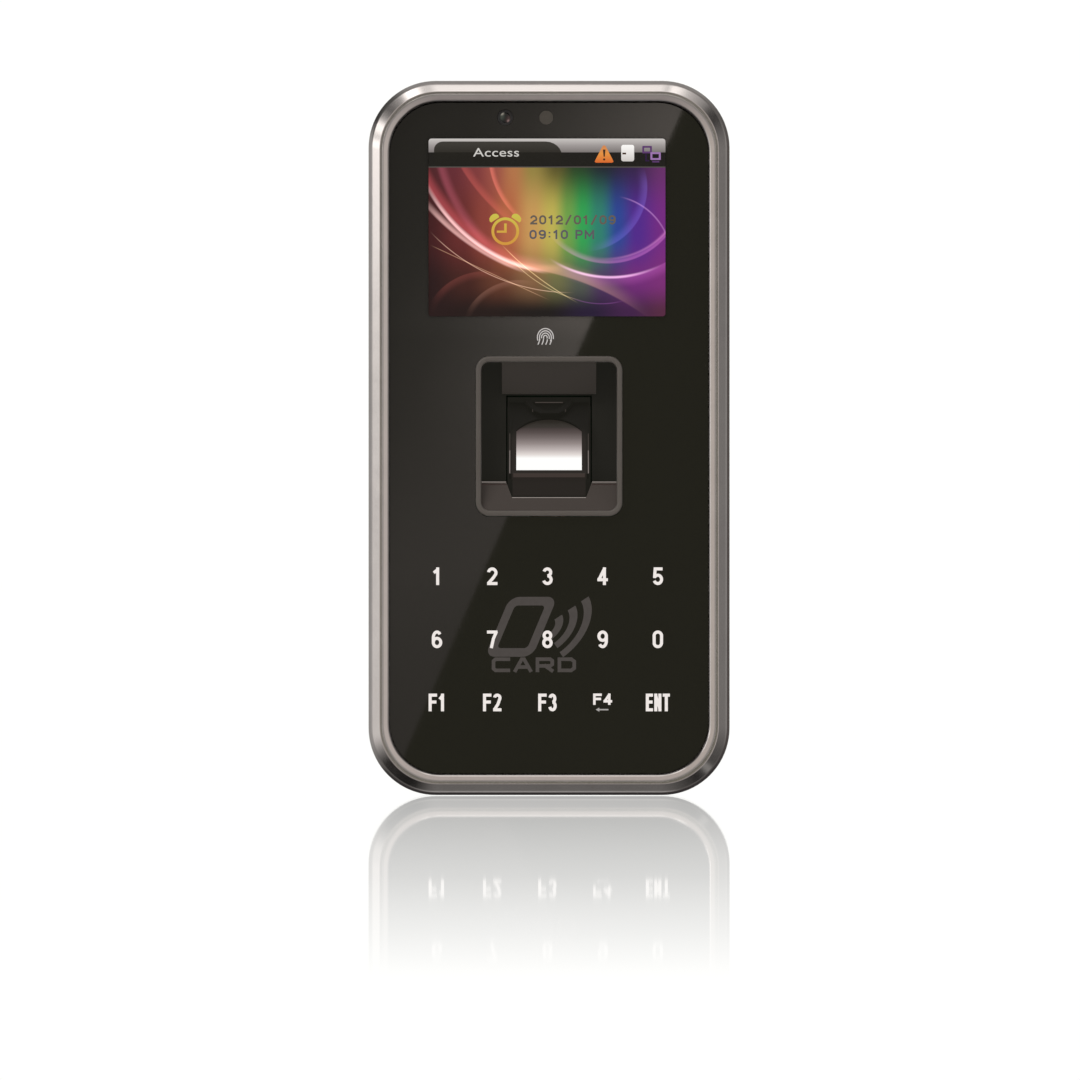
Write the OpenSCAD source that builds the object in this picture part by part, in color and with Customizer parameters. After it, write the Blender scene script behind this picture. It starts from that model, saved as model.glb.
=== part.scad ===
// Wall-mounted fingerprint terminal with a touch keypad, a colour screen and a card reader.
// Millimetres. X is to the right and Z is up. The wall is the plane Y = 0, and the front faces -Y.
// Every part is drawn lying on the wall plane, with X right, Y up the wall and Z out of the wall,
// and stand() then turns it upright. "Depth" is the distance out from the wall.

/* [Case] */
// Width of the front frame
case_w = 88; // [87:0.5:90]
// Height of the front frame
case_h = 174; // [173:0.5:176]
// Distance from the wall to the crest of the front frame
case_depth = 43.4; // [43:0.2:45]
// Outer corner radius of the front frame
case_r = 16.4; // [15.5:0.1:17]
// Wall thickness of the rear housing
shell_t = 2.2; // [1.8:0.1:2.6]

/* [Window] */
// Margin between the frame's outer edge and the window's visible edge
frame_margin = 5.2; // [5:0.1:5.6]
// Corner radius of the window's visible edge
window_r = 12.4; // [12:0.1:13]
// Thickness of the window sheet
window_t = 2; // [1.5:0.1:2.2]

/* [Screen] */
// Width of the screen's active area
screen_w = 57.6; // [56:0.1:58]
// Height of the screen's active area
screen_h = 43.2; // [42:0.1:43.4]
// Height of the screen's centre above the case's centre
screen_z = 51.3; // [51:0.1:51.6]

/* [Keypad] */
// Distance between two keys in a row
key_pitch_x = 13.45; // [13:0.05:13.6]
// Distance between two rows of keys
key_pitch_z = 15.35; // [15:0.05:15.6]
// Height of the middle row above the case's centre
keypad_z = -49.3; // [-49.6:0.1:-49]

/* [Finger well] */
// Width of the well's mouth
well_w = 33; // [32:0.5:33.5]
// Height of the well's mouth
well_h = 36.2; // [36:0.1:36.4]
// Tilt of the platen away from the wall plane
platen_tilt = 23.5; // [22:0.5:24]
// Width of the platen's window
platen_w = 16; // [15:0.5:16.5]

/* [Wall plate] */
// Thickness of the steel wall plate
plate_t = 1.2; // [1:0.1:1.5]
// Distance between the wall screw holes, left to right
wall_pitch_x = 54; // [52:1:55]
// Distance between the wall screw holes, bottom to top
wall_pitch_z = 100; // [98:1:102]
// Distance between the two wiring box holes
box_pitch_z = 83.3; // [82:0.1:84]

/* [Hidden] */
$fn = 64;
hull_fn = 48;
eps = 0.01;
rib_t = 0.1;

// Depths, from the wall outwards
rim_depth = 0.6;
recess_depth = 4.2;
back_depth = recess_depth + 2;
board_depth = 16;
board_t = 1.6;
board_face = board_depth + board_t;
part_line = 29.4;
gasket_t = 0.8;
lip_t = 1.2;
glass_face = case_depth - lip_t;
glass_back = glass_face - window_t;
print_t = 0.15;
tape_t = 0.3;
chassis_face = glass_back - print_t - tape_t;
chassis_t = 2.2;
chassis_back = chassis_face - chassis_t;

// Outlines
shell_inset = 1;
bezel_t = 2;
fit_gap = 0.2;
window_w = case_w - 2 * frame_margin;
window_h = case_h - 2 * frame_margin;
sheet_grow = 1.4;
chassis_w = case_w - 2 * bezel_t - 2 * fit_gap;
chassis_h = case_h - 2 * bezel_t - 2 * fit_gap;
chassis_r = case_r - bezel_t - fit_gap;
recess = [-35, 35, -77, 70];
bay = [-25, 25, -43, 9];

// Positions in the window, offset a little to the left as on the real front
front_x = -0.5;
camera_at = [-10.7, 78.1];
lamp_at = [-0.7, 78.1];
well_z = 0.4;
trim_t = 1.35;
trim_r = 3.4;
platen_z = -1.65;
platen_depth = 34.95;
case_screw_at = [[-33.6, 18], [33.6, 18], [-33.6, -52], [33.6, -52]];
board_screw_at = [[-30, 62.2], [30, 62.2], [-30, -61], [30, -61]];

// Lock screw, hooks and tamper switch
flange_z = -79.4;
lock_depth = 9;
hook_x = 20;
hook_w = 10;
hook_z = 60;
lift = 5;
tamper_at = [10, 36];

// USB socket in the right-hand wall, and the reset button in the bottom wall
usb_z = -20;
usb_depth = 24;
side_x = case_w / 2 - shell_inset;
bottom_z = -(case_h / 2 - shell_inset);
knuckle_x = side_x - 0.9;
knuckle_z = usb_z - 10.6;
reset_x = 22;
reset_depth = 22.5;
speaker_x = -25;
speaker_depth = 17.4;
speaker_z = -79.6;

// ---------- Shared shapes ----------

module stand() {
    rotate([90, 0, 0]) children();
}

module rounded(w, h, r) {
    square([w - 2 * r, h], center = true);
    square([w, h - 2 * r], center = true);
    for (x = [-1, 1], y = [-1, 1])
        translate([x * (w / 2 - r), y * (h / 2 - r)]) circle(r);
}

// Rounded plate centred on the case, between two depths
module slab(w, h, r, from, to) {
    translate([0, 0, from]) linear_extrude(to - from) rounded(w, h, r);
}

// Ring of even width between two depths
module ring(w, h, r, t, from, to) {
    translate([0, 0, from]) linear_extrude(to - from) difference() {
        rounded(w, h, r);
        rounded(w - 2 * t, h - 2 * t, r - t);
    }
}

module box(x, y, z) {
    translate([x[0], y[0], z[0]]) cube([x[1] - x[0], y[1] - y[0], z[1] - z[0]]);
}

module post(at, r, from, to) {
    translate([at[0], at[1], from]) cylinder(r = r, h = to - from);
}

// Thin rounded plate, a rib for the smooth shells
module rib(w, h, r, depth) {
    translate([0, 0, depth]) linear_extrude(rib_t) rounded(w, h, r, $fn = hull_fn);
}

// ---------- Wall plate and its lock screw ----------

module wall_plate() {
    slope = 5;
    tongue_w = 16;
    hook_lip = 4;
    lip_from = back_depth + fit_gap;
    color("gainsboro") stand() difference() {
        union() {
            translate([0, -2, 0]) slab(66, 136, slope, 0, plate_t);
            box([-tongue_w / 2, tongue_w / 2], [flange_z - plate_t, -68], [0, plate_t]);
            box([-tongue_w / 2, tongue_w / 2], [flange_z - plate_t, flange_z], [0, 15]);
            for (side = [-1, 1]) translate([side * hook_x, hook_z - plate_t, 0]) {
                box([-hook_w / 2, hook_w / 2], [0, plate_t], [0, lip_from + plate_t]);
                box([-hook_w / 2, hook_w / 2], [0, plate_t + hook_lip], [lip_from, lip_from + plate_t]);
            }
        }
        // Windows that the hooks are bent out of
        for (side = [-1, 1]) translate([side * hook_x, 0, 0])
            box([-hook_w / 2 - 0.5, hook_w / 2 + 0.5], [47.6, hook_z - plate_t], [-1, plate_t + eps]);
        translate([0, -17, 0]) slab(46, 49, 4, -1, plate_t + 1);
        for (x = [-1, 1], z = [-1, 1])
            post([x * wall_pitch_x / 2, z * wall_pitch_z / 2 - 10], 2.25, -1, plate_t + 1);
        for (z = [-1, 1]) post([0, z * box_pitch_z / 2 - 17], 1.9, -1, plate_t + 1);
        lock_bore(1.7);
    }
}

// Vertical bore on the lock screw's axis
module lock_bore(r) {
    translate([0, flange_z - 5, lock_depth]) rotate([-90, 0, 0]) cylinder(r = r, h = 16);
}

module lock_washer() {
    translate([0, -lock_depth, flange_z - plate_t - 0.5]) color("ivory") difference() {
        cylinder(r = 3, h = 0.5);
        translate([0, 0, -1]) cylinder(r = 1.52, h = 3);
    }
}

module lock_screw() {
    head_h = 1.8;
    head_z = flange_z - plate_t - 0.5 - head_h;
    translate([0, -lock_depth, head_z]) color("silver") difference() {
        union() {
            cylinder(r = 2.85, h = head_h);
            cylinder(r = 1.48, h = head_h + 5.6);
        }
        translate([0, 0, -eps]) cylinder(r = 1.2, h = 1.2, $fn = 6);
    }
}

module lock_insert() {
    translate([0, -lock_depth, flange_z + 0.2]) color("goldenrod") difference() {
        cylinder(r = 2.3, h = 5);
        translate([0, 0, -1]) cylinder(r = 1.55, h = 7);
    }
}

// ---------- Case ----------

// Outside or inside of the rear housing, which narrows towards the wall
module shell_body(inset, from, to = part_line) {
    full_depth = 20;
    narrow = [0.18, 0.284];
    w = case_w - 2 * shell_inset - 2 * inset;
    h = case_h - 2 * shell_inset - 2 * inset;
    low = [w / 2 - narrow[0] * (full_depth - from), h / 2 - narrow[1] * (full_depth - from)];
    high = [w / 2 + narrow[0] * (to - full_depth), h / 2 + narrow[1] * (to - full_depth)];
    intersection() {
        slab(w, h, case_r - shell_inset - inset, from, to);
        rotate([90, 0, 0]) mirror([0, 0, 1]) translate([0, 0, -case_h]) linear_extrude(2 * case_h)
            polygon([[-low[0], from], [low[0], from], [high[0], to], [-high[0], to]]);
        rotate([90, 0, 90]) translate([0, 0, -case_w]) linear_extrude(2 * case_w)
            polygon([[-low[1], from], [low[1], from], [high[1], to], [-high[1], to]]);
    }
}

module rear_housing() {
    boss_r = 4.3;
    color("#1c1b1a") stand() difference() {
        union() {
            difference() {
                shell_body(0, rim_depth);
                difference() {
                    shell_body(shell_t, back_depth, part_line + 1);
                    // Pocket ceiling and block for the lock screw's insert
                    box([-12.7, 12.7], [-90, flange_z + 2.4], [0, 19]);
                    box([-4.8, 4.8], [-90, flange_z + 6], [0, 14]);
                }
            }
            for (at = case_screw_at) post(at, boss_r, recess_depth, 27);
            for (at = board_screw_at) post(at, 3, recess_depth, board_depth);
            // Skirt round the cable bay
            difference() {
                box([bay[0] - 1.2, bay[1] + 1.2], [bay[2] - 1.2, bay[3] + 1.2], [recess_depth, board_depth - 0.2]);
                box([bay[0], bay[1]], [bay[2], bay[3]], [0, board_depth]);
            }
            speaker_seat();
        }
        box([recess[0], recess[1]], [recess[2], recess[3]], [0, recess_depth]);
        box([bay[0], bay[1]], [bay[2], bay[3]], [0, board_depth]);
        for (at = case_screw_at) {
            post(at, 3.1, 0, 25);
            post(at, 1.6, 0, 30);
        }
        for (at = board_screw_at) post(at, 1.25, 9, board_depth + 1);
        // Slots for the hooks, as tall as the lift needs
        for (side = [-1, 1]) translate([side * hook_x, 0, 0])
            box([-hook_w / 2 - 1, hook_w / 2 + 1], [hook_z - lift - 1.4, hook_z + 0.1], [0, back_depth + 1]);
        post(tamper_at, 1.58, 0, back_depth + 1);
        // Pocket for the wall plate's tongue and flange, and the insert's bore
        box([-10.5, 10.5], [-90, flange_z + 0.2], [-1, 17]);
        box([-9, 9], [-90, recess[2] + 1], [-1, recess_depth]);
        translate([0, flange_z, lock_depth]) rotate([-90, 0, 0]) cylinder(r = 2.32, h = 5.2);
        speaker_slots();
        usb_cutout();
        translate([reset_x, bottom_z - 1, reset_depth]) rotate([-90, 0, 0]) cylinder(r = 1.53, h = 6);
    }
}

// Ring that the speaker stands on inside the bottom wall
module speaker_seat() {
    intersection() {
        translate([speaker_x, bottom_z, speaker_depth]) rotate([-90, 0, 0]) difference() {
            cylinder(r = 9.4, h = speaker_z - gasket_t - bottom_z);
            cylinder(r = 8.2, h = 20);
        }
        shell_body(0.8, back_depth);
    }
}

module speaker_slots() {
    slot_pitch = 3;
    for (i = [-2:2]) translate([speaker_x, -80, speaker_depth + i * slot_pitch])
        box([-5.5, 5.5], [-12, -1], [-0.7, 0.7]);
}

// Recess for the rubber cover, its knuckle's groove and the hole to the socket
module usb_cutout() {
    box([side_x - 1.2, side_x + 2], [usb_z - 9.8, usb_z + 10.1], [usb_depth - 4.8, usb_depth + 4.8]);
    box([knuckle_x - 1.1, side_x + 2], [knuckle_z - 1.6, usb_z - 9.7], [usb_depth - 4.8, usb_depth + 4.8]);
    box([side_x - 4, side_x + 2], [usb_z - 7.2, usb_z + 7.2], [usb_depth - 3.4, usb_depth + 3.4]);
}

module housing_gasket() {
    grow = 0.1;
    color("#2a2a2a") stand()
        ring(chassis_w - 2 * grow, chassis_h - 2 * grow, chassis_r - grow, 0.8, part_line, part_line + gasket_t);
}

module case_screws() {
    color("silver") stand() for (at = case_screw_at) difference() {
        union() {
            post(at, 2.8, 23, 25);
            post(at, 1.45, 24, 35);
        }
        translate([at[0], at[1], 22]) cylinder(r = 1.1, h = 2.2, $fn = 6);
    }
}

module front_chassis() {
    rim_t = 2;
    color("#232221") stand() difference() {
        union() {
            slab(chassis_w, chassis_h, chassis_r, part_line + gasket_t, chassis_face);
        }
        slab(chassis_w - 2 * rim_t, chassis_h - 2 * rim_t, chassis_r - rim_t, 0, chassis_back);
        // Openings for the screen, keypad, well, camera and lamp
        translate([screen_mid_x(), screen_z, 0]) slab(screen_frame_w + 0.4, screen_frame_h + 0.4, 1, 30, 50);
        translate([front_x, keypad_z, 0]) slab(keypad_w + 0.4, keypad_h + 0.4, 2, 30, 50);
        translate([0, well_z, 0]) slab(well_w + 2 * trim_t + 0.3, well_h + 2 * trim_t + 0.3, trim_r, 30, 50);
        translate([camera_at[0], camera_at[1], 0]) slab(5.8, 5.2, 0.8, 30, 50);
        post(lamp_at, 1.9, 30, 50);
        for (at = bracket_screw_at) post(at, 0.82, 30, chassis_face - 0.4);
    }
    // Posts that take the case screws
    color("#232221") stand() for (at = case_screw_at) difference() {
        post(at, 3.6, 27, chassis_back);
        post(at, 1.5, 26, 36);
    }
}

// The silver frame: a crowned outer band, a fine groove and an inner band that falls to the window
module front_bezel() {
    pocket_w = window_w + 2 * sheet_grow + 2 * fit_gap;
    pocket_h = window_h + 2 * sheet_grow + 2 * fit_gap;
    pocket_r = window_r + sheet_grow;
    // Distance in from the outer edge, and distance back from the crest
    crown = [[0, 13.9], [0, 2.1], [0.3, 1.25], [0.9, 0.6], [1.8, 0.15], [2.9, 0]];
    groove_in = 3;
    groove_t = 0.35;
    color("silver") stand() difference() {
        hull() for (p = crown)
            rib(case_w - 2 * p[0], case_h - 2 * p[0], case_r - p[0], case_depth - p[1] - rib_t);
        slab(case_w - 2 * bezel_t, case_h - 2 * bezel_t, case_r - bezel_t, 0, glass_back);
        slab(pocket_w, pocket_h, pocket_r, 0, glass_face);
        hull() {
            rib(window_w, window_h, window_r, glass_face - rib_t);
            rib(window_w + 3.6, window_h + 3.6, window_r + 1.3, case_depth - 0.2);
            rib(window_w + 3.8, window_h + 3.8, window_r + 1.4, case_depth + 0.1);
        }
        ring(case_w - 2 * groove_in, case_h - 2 * groove_in, case_r - groove_in, groove_t,
            case_depth - 0.5, case_depth + 1);
    }
}

// ---------- Window ----------

module well_hole(from, to) {
    gap = 0.1;
    translate([0, well_z, 0])
        slab(well_w + 2 * trim_t + 2 * gap, well_h + 2 * trim_t + 2 * gap, trim_r + gap, from, to);
}

module window_tape() {
    tape_w = 1.6;
    color("#3a3a3a") stand() {
        ring(window_w, window_h, window_r, tape_w, chassis_face, chassis_face + tape_t);
        translate([0, well_z, 0])
            ring(well_w + 2 * trim_t + 4, well_h + 2 * trim_t + 4, trim_r + 2, 1.5, chassis_face, chassis_face + tape_t);
    }
}

module window_print() {
    color("#0d0d0c") stand() difference() {
        slab(window_w + 2 * sheet_grow - 1, window_h + 2 * sheet_grow - 1, window_r + 1,
            glass_back - print_t, glass_back);
        translate([front_x, screen_z, 0]) slab(screen_w + 0.2, screen_h, 0.8, 30, 50);
        well_hole(30, 50);
        post(camera_at, 1.95, 30, 50);
        post(lamp_at, 1.7, 30, 50);
    }
}

module front_window() {
    color([0.1, 0.1, 0.1, 0.5]) stand() difference() {
        slab(window_w + 2 * sheet_grow, window_h + 2 * sheet_grow, window_r + sheet_grow, glass_back, glass_face);
        well_hole(30, 50);
    }
}

// ---------- Screen ----------

screen_frame_w = 69.2;
screen_frame_h = 47.4;
// The panel's border is wider on the right, where its flat cable leaves
function screen_mid_x() = front_x + 2.6;
screen_back = 36.8;
screen_front = chassis_face - 0.05;
bracket_screw_at = [[-22, 80.2], [22, 80.2], [-24, 24.6], [26, 24.6]];

module screen_frame() {
    metal_t = 0.35;
    color("silver") stand() translate([screen_mid_x(), screen_z, 0]) difference() {
        slab(screen_frame_w, screen_frame_h, 0.8, screen_back, screen_front);
        slab(screen_frame_w - 2 * metal_t, screen_frame_h - 2 * metal_t, 0.5, screen_back + metal_t, 50);
        // Slot that the flat cable leaves by
        box([screen_frame_w / 2 - 1, screen_frame_w / 2 + 1], [-7.4, 7.4], [screen_back + 0.34, 37.5]);
    }
}

// Layer of the screen inside its frame
module screen_layer(from, to) {
    stand() translate([screen_mid_x(), screen_z, 0])
        slab(screen_frame_w - 0.8, screen_frame_h - 0.8, 0.4, from, to);
}

module screen_backlight() {
    color("white") screen_layer(37.4, 38.5);
}

module screen_panel() {
    color("#20202a") screen_layer(38.5, screen_front);
}

module screen_bracket() {
    sheet_t = 0.7;
    color("gainsboro") stand() difference() {
        union() {
            translate([screen_mid_x(), screen_z, 0]) slab(66, 46, 3, screen_back - sheet_t, screen_back);
            for (at = bracket_screw_at) {
                inner = at[1] > screen_z ? at[1] - 8 : at[1] + 8;
                box([at[0] - 3, at[0] + 3], [min(at[1], inner) - 0.5, max(at[1], inner) + 0.5],
                    [screen_back - sheet_t, screen_back]);
                box([at[0] - 3, at[0] + 3], [at[1] - 2.4, at[1] + 2.2], [screen_back - sheet_t, chassis_back]);
            }
        }
        translate([screen_mid_x(), screen_z, 0]) slab(46, 28, 4, 30, 40);
        for (at = bracket_screw_at) post(at, 1.1, 30, 40);
    }
}

module bracket_screws() {
    color("silver") stand() for (at = bracket_screw_at) {
        post(at, 1.9, 34.8, screen_back - 0.7);
        post(at, 0.8, 35, chassis_face - 0.6);
    }
}

// Flat cable from the right edge of the screen, back to its socket on the main board
module screen_flex() {
    t = 0.3;
    edge = screen_mid_x() + screen_frame_w / 2 - 0.35;
    side = 38.4;
    socket_x = 30;
    front = screen_back + 0.65;
    color("#b8742a") stand() translate([0, screen_z, 0]) {
        box([edge, side], [-7, 7], [front - t, front]);
        box([side - t, side], [-7, 7], [19, front]);
        box([socket_x + 2, side], [-7, 7], [19, 19 + t]);
    }
    color("#b8742a") stand() box([socket_x, socket_x + 3], [screen_z - 8, screen_z + 8], [board_face, 19 + eps]);
}

// ---------- Camera ----------

camera_board_face = 35.4;

module camera_board() {
    color("darkgreen") stand() box([-14.8, 2.6], [75.7, 81.2], [camera_board_face - 0.8, camera_board_face]);
}

module camera_body() {
    color("#151515") stand() difference() {
        union() {
            translate([camera_at[0], camera_at[1], 0]) slab(5.4, 4.8, 0.5, camera_board_face, 38.4);
            post(camera_at, 1.85, 38.4, 39.9);
        }
        post(camera_at, 1.3, 38, 41);
    }
}

module camera_lens() {
    bulge_r = 2.2;
    lens_r = 1.28;
    color("#101830") stand() translate([camera_at[0], camera_at[1], 0]) {
        intersection() {
            translate([0, 0, 39.6 - bulge_r]) sphere(r = bulge_r);
            translate([0, 0, 38.2]) cylinder(r = lens_r, h = 2);
        }
    }
}

module infrared_lamp() {
    color("#3c3a38") stand() {
        post(lamp_at, 1.65, camera_board_face, 36.4);
        post(lamp_at, 1.5, 36.4, 38.4);
        translate([lamp_at[0], lamp_at[1], 38.4]) intersection() {
            sphere(r = 1.5);
            cylinder(r = 2, h = 2);
        }
    }
}

// ---------- Keypad and card reader ----------

keypad_w = 62;
keypad_h = 46;
touch_t = 1.2;
diffuser_t = 1;

function key_at(column, row) = [front_x + (column - 2) * key_pitch_x, keypad_z + (1 - row) * key_pitch_z];

module touch_board() {
    front = glass_back - print_t - diffuser_t;
    color("darkgreen") stand() translate([front_x, keypad_z, 0])
        slab(keypad_w, keypad_h, 1.6, front - touch_t, front);
}

module key_lamps() {
    front = glass_back - print_t - diffuser_t;
    color("lightyellow") stand() for (column = [0:4], row = [0:2])
        translate([key_at(column, row)[0], key_at(column, row)[1], front])
            box([-0.8, 0.8], [-0.5, 0.5], [0, 0.6]);
}

module key_diffuser() {
    back = glass_back - print_t - diffuser_t;
    color("white") stand() difference() {
        translate([front_x, keypad_z, 0]) slab(keypad_w, keypad_h, 1.6, back, back + diffuser_t);
        for (column = [0:4], row = [0:2])
            translate([key_at(column, row)[0], key_at(column, row)[1], back])
                box([-1.3, 1.3], [-0.9, 0.9], [-1, 0.75]);
    }
}

antenna_face = 35.4;

module antenna_board() {
    color("darkgreen") stand() translate([0, keypad_z, 0]) slab(58, 40, 2, antenna_face - 0.8, antenna_face);
}

module antenna_coil() {
    turns = 5;
    track = 0.6;
    pitch = 1.3;
    color("#b87333") stand() translate([0, keypad_z, 0]) for (i = [0:turns - 1])
        ring(55 - 2 * i * pitch, 37 - 2 * i * pitch, 8 - i * pitch, track, antenna_face - 0.9, antenna_face - 0.8);
}

module antenna_pads() {
    color("#444444") stand() for (x = [-1, 1], z = [-1, 1]) translate([x * 24, keypad_z + z * 15, 0])
        box([-4, 4], [-3, 3], [antenna_face, glass_back - print_t - diffuser_t - touch_t]);
}

// ---------- Finger well and fingerprint sensor ----------

cover_t = 0.8;
seal_t = 0.3;

// Local frame of the platen: X right, Y up its slope, Z along its normal
module on_platen() {
    translate([0, platen_z, platen_depth]) rotate([-platen_tilt, 0, 0]) children();
}

// Outline of the platen's window: square at the bottom and arched at the top
module platen_outline(grow) {
    arch_r = 11.5;
    top = 6.9 + grow;
    intersection() {
        translate([-platen_w / 2 - grow, -7.2 - grow]) square([platen_w + 2 * grow, top + 7.2 + grow]);
        translate([0, top - arch_r]) circle(arch_r);
    }
}

module well_trim() {
    color("#5c5752") stand() translate([0, well_z, 0])
        ring(well_w + 2 * trim_t, well_h + 2 * trim_t, trim_r, trim_t, 39, glass_face + 0.3);
}

module finger_well() {
    floor_depth = 32;
    floor_t = 1.5;
    wall_t = trim_t - 0.1;
    low = -well_h / 2;
    high = well_h / 2;
    // The ledge's crest, the notch in it and the hood, as heights above the well's centre
    crest = -11;
    notch_low = -14.8;
    hood_low = 10.5;
    color("#1e1d1b") stand() translate([0, well_z, 0]) {
        ring(well_w + 2 * wall_t, well_h + 2 * wall_t, trim_r - 0.1, wall_t, floor_depth - floor_t, 39);
        difference() {
            union() {
                slab(well_w, well_h, trim_r - trim_t, floor_depth - floor_t, floor_depth);
                // Ledge that guides the finger in
                intersection() {
                    slab(well_w, well_h, trim_r - trim_t, floor_depth, 50);
                    rotate([90, 0, 90]) translate([0, 0, -20]) linear_extrude(40)
                        polygon([[low, 31], [low, 41.6], [crest, 38.6], [crest, 31]]);
                }
                // Sloped hood above the fingertip
                rotate([90, 0, 90]) translate([0, 0, -11.5]) linear_extrude(23)
                    polygon([[high - eps, 31], [high - eps, 40.8], [hood_low, 35], [hood_low, 31]]);
            }
            // Notch in the ledge, and the hole that the sensor looks through
            translate([0, 0, floor_depth - floor_t - 1]) linear_extrude(20)
                polygon([[-9.1, notch_low], [9.1, notch_low], [10.5, crest], [10.5, crest + 3], [-10.5, crest + 3],
                    [-10.5, crest]]);
            box([-10.5, 10.5], [notch_low, 10.2], [floor_depth - floor_t - 1, floor_depth + 5]);
        }
    }
}

module sensor_cover() {
    body_front = seal_t + cover_t;
    half = 9.7;
    // Height and depth of a point on the platen's slope, from its place along the slope and above it
    function slope(y, z) = [platen_z + y * cos(platen_tilt) + z * sin(platen_tilt),
        platen_depth - y * sin(platen_tilt) + z * cos(platen_tilt)];
    color("#141312") stand() difference() {
        union() {
            // Face plate on the platen's slope, with the skirt at its lower end
            rotate([90, 0, 90]) translate([0, 0, -half]) linear_extrude(2 * half)
                polygon([[-9.9, 31.9], [-9.9, 38.7], slope(-8.6, body_front), slope(11, body_front),
                    slope(11, seal_t), slope(-8, seal_t), [-9.3, 38.2], [-9.3, 31.9]]);
            // Square front below the platen
            box([-8.9, 8.9], [-14, -9.6], [32, 37.8]);
            // Raised rim round the platen
            on_platen() translate([0, 0, body_front - 0.3]) linear_extrude(0.8) difference() {
                translate([-half + 0.1, -8.4]) square([2 * half - 0.2, 14.8]);
                translate([-half + 0.6, -7.9]) square([2 * half - 1.2, 20]);
            }
            // Rounded stop for the fingertip
            on_platen() intersection() {
                translate([0, 13.2, body_front - 0.4]) cylinder(r = 6.4, h = 2.4);
                translate([-9, 7.2, 0]) cube([18, 3.6, 6]);
            }
        }
        on_platen() translate([0, 0, -0.2]) linear_extrude(4) platen_outline(0);
        // Hollow of the stop, for the fingertip
        on_platen() translate([0, 12.8, body_front + 0.1]) cylinder(r = 4.9, h = 5);
    }
}

module platen_seal() {
    color("#0a0a0a") stand() on_platen() linear_extrude(seal_t) difference() {
        translate([-8.4, -7.8]) square([16.8, 15.5]);
        platen_outline(-0.01);
    }
}

// Wedge of glass whose sloping face is the platen
module platen_prism() {
    half = 7.9;
    rise = half * sin(platen_tilt);
    run = half * cos(platen_tilt);
    base = 31.2;
    color([0.8, 0.9, 0.9, 0.5]) stand() rotate([90, 0, 90]) translate([0, 0, -8.4]) linear_extrude(16.8)
        polygon([[platen_z - run, platen_depth + rise], [platen_z + run, platen_depth - rise],
            [platen_z + run, base], [platen_z - run, base]]);
}

module sensor_body() {
    color("#181818") stand() difference() {
        box([-10.2, 10.2], [-13.9, 7.8], [21.2, 31.1]);
        box([-9, 9], [-12.7, 6.6], [26.2, 32]);
        box([-9, 9], [-12.7, 6.6], [20, 25]);
        post([0, platen_z], 3.02, 20, 32);
    }
}

module sensor_lens() {
    color("#202020") stand() difference() {
        post([0, platen_z], 3, 24, 29);
        post([0, platen_z], 1.6, 28.2, 30);
        post([0, platen_z], 2.2, 23, 24.8);
    }
}

module sensor_board() {
    color("darkgreen") stand() difference() {
        box([-10.2, 10.2], [-16.5, 10.4], [20, 21.2]);
        for (x = [-8, 8]) post([x, -15.2], 0.8, 19, 22);
    }
}

module sensor_chip() {
    color("#303840") stand() translate([0, platen_z, 0]) box([-4, 4], [-4, 4], [21.2, 22.2]);
}

module platen_lamps() {
    color("lightyellow") stand() for (i = [-2:2])
        translate([i * 3.2, 0, 0]) box([-0.9, 0.9], [-12.7, -11.9], [27.4, 29]);
}

// Ribbon from the sensor's board to its socket on the main board
module sensor_cable() {
    color("#d8d4c8") stand() {
        box([-4, 4], [-22, -18.5], [board_face, 19.2]);
        box([-3.5, 3.5], [-18.5, -17.2], [18.4, 18.7]);
        box([-3.5, 3.5], [-17.2, -16.9], [18.4, 20.6]);
        box([-3.5, 3.5], [-17.2, -16.5], [20.4, 20.7]);
    }
}

// ---------- Main board ----------

module main_board() {
    notch_r = 5.2;
    color("darkgreen") stand() difference() {
        translate([0, -1, 0]) slab(72, 132, 3, board_depth, board_face);
        for (at = case_screw_at) {
            post(at, notch_r, 10, 20);
            box([min(at[0], sign(at[0]) * 40), max(at[0], sign(at[0]) * 40)], [at[1] - notch_r, at[1] + notch_r],
                [10, 20]);
        }
        for (at = board_screw_at) post(at, 1.6, 10, 20);
    }
}

module board_screws() {
    color("silver") stand() for (at = board_screw_at) {
        post(at, 2.6, board_face, board_face + 1.6);
        post(at, 1.2, 10, board_face);
    }
}

module processor() {
    color("#202020") stand() translate([-12, 40, board_face]) box([-8.5, 8.5], [-8.5, 8.5], [0, 1.5]);
}

module memory_chips() {
    color("#202020") stand() for (z = [33, 46]) translate([10, z, board_face]) box([-6, 6], [-4, 4], [0, 1.1]);
}

module radio_shield() {
    color("silver") stand() difference() {
        box([-22, 0], [-52, -34], [board_face, board_face + 2.8]);
        box([-21.7, -0.3], [-51.7, -34.3], [board_face - 1, board_face + 2.5]);
    }
}

module power_parts() {
    color("#2a3550") stand() {
        for (z = [-32, -42]) post([14, z], 3.2, board_face, board_face + 7);
        box([20, 27], [-41, -34], [board_face, board_face + 3.5]);
    }
}

module relay() {
    color("#1f4fa0") stand() box([-24, -9], [13, 23.5], [board_depth - 9.5, board_depth]);
}

module clock_battery() {
    color("silver") stand() {
        post([20, -54.5], 6, board_depth - 3.2, board_depth);
        box([13, 27], [-56, -53], [board_depth - 3.6, board_depth - 3.2]);
    }
}

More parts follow.
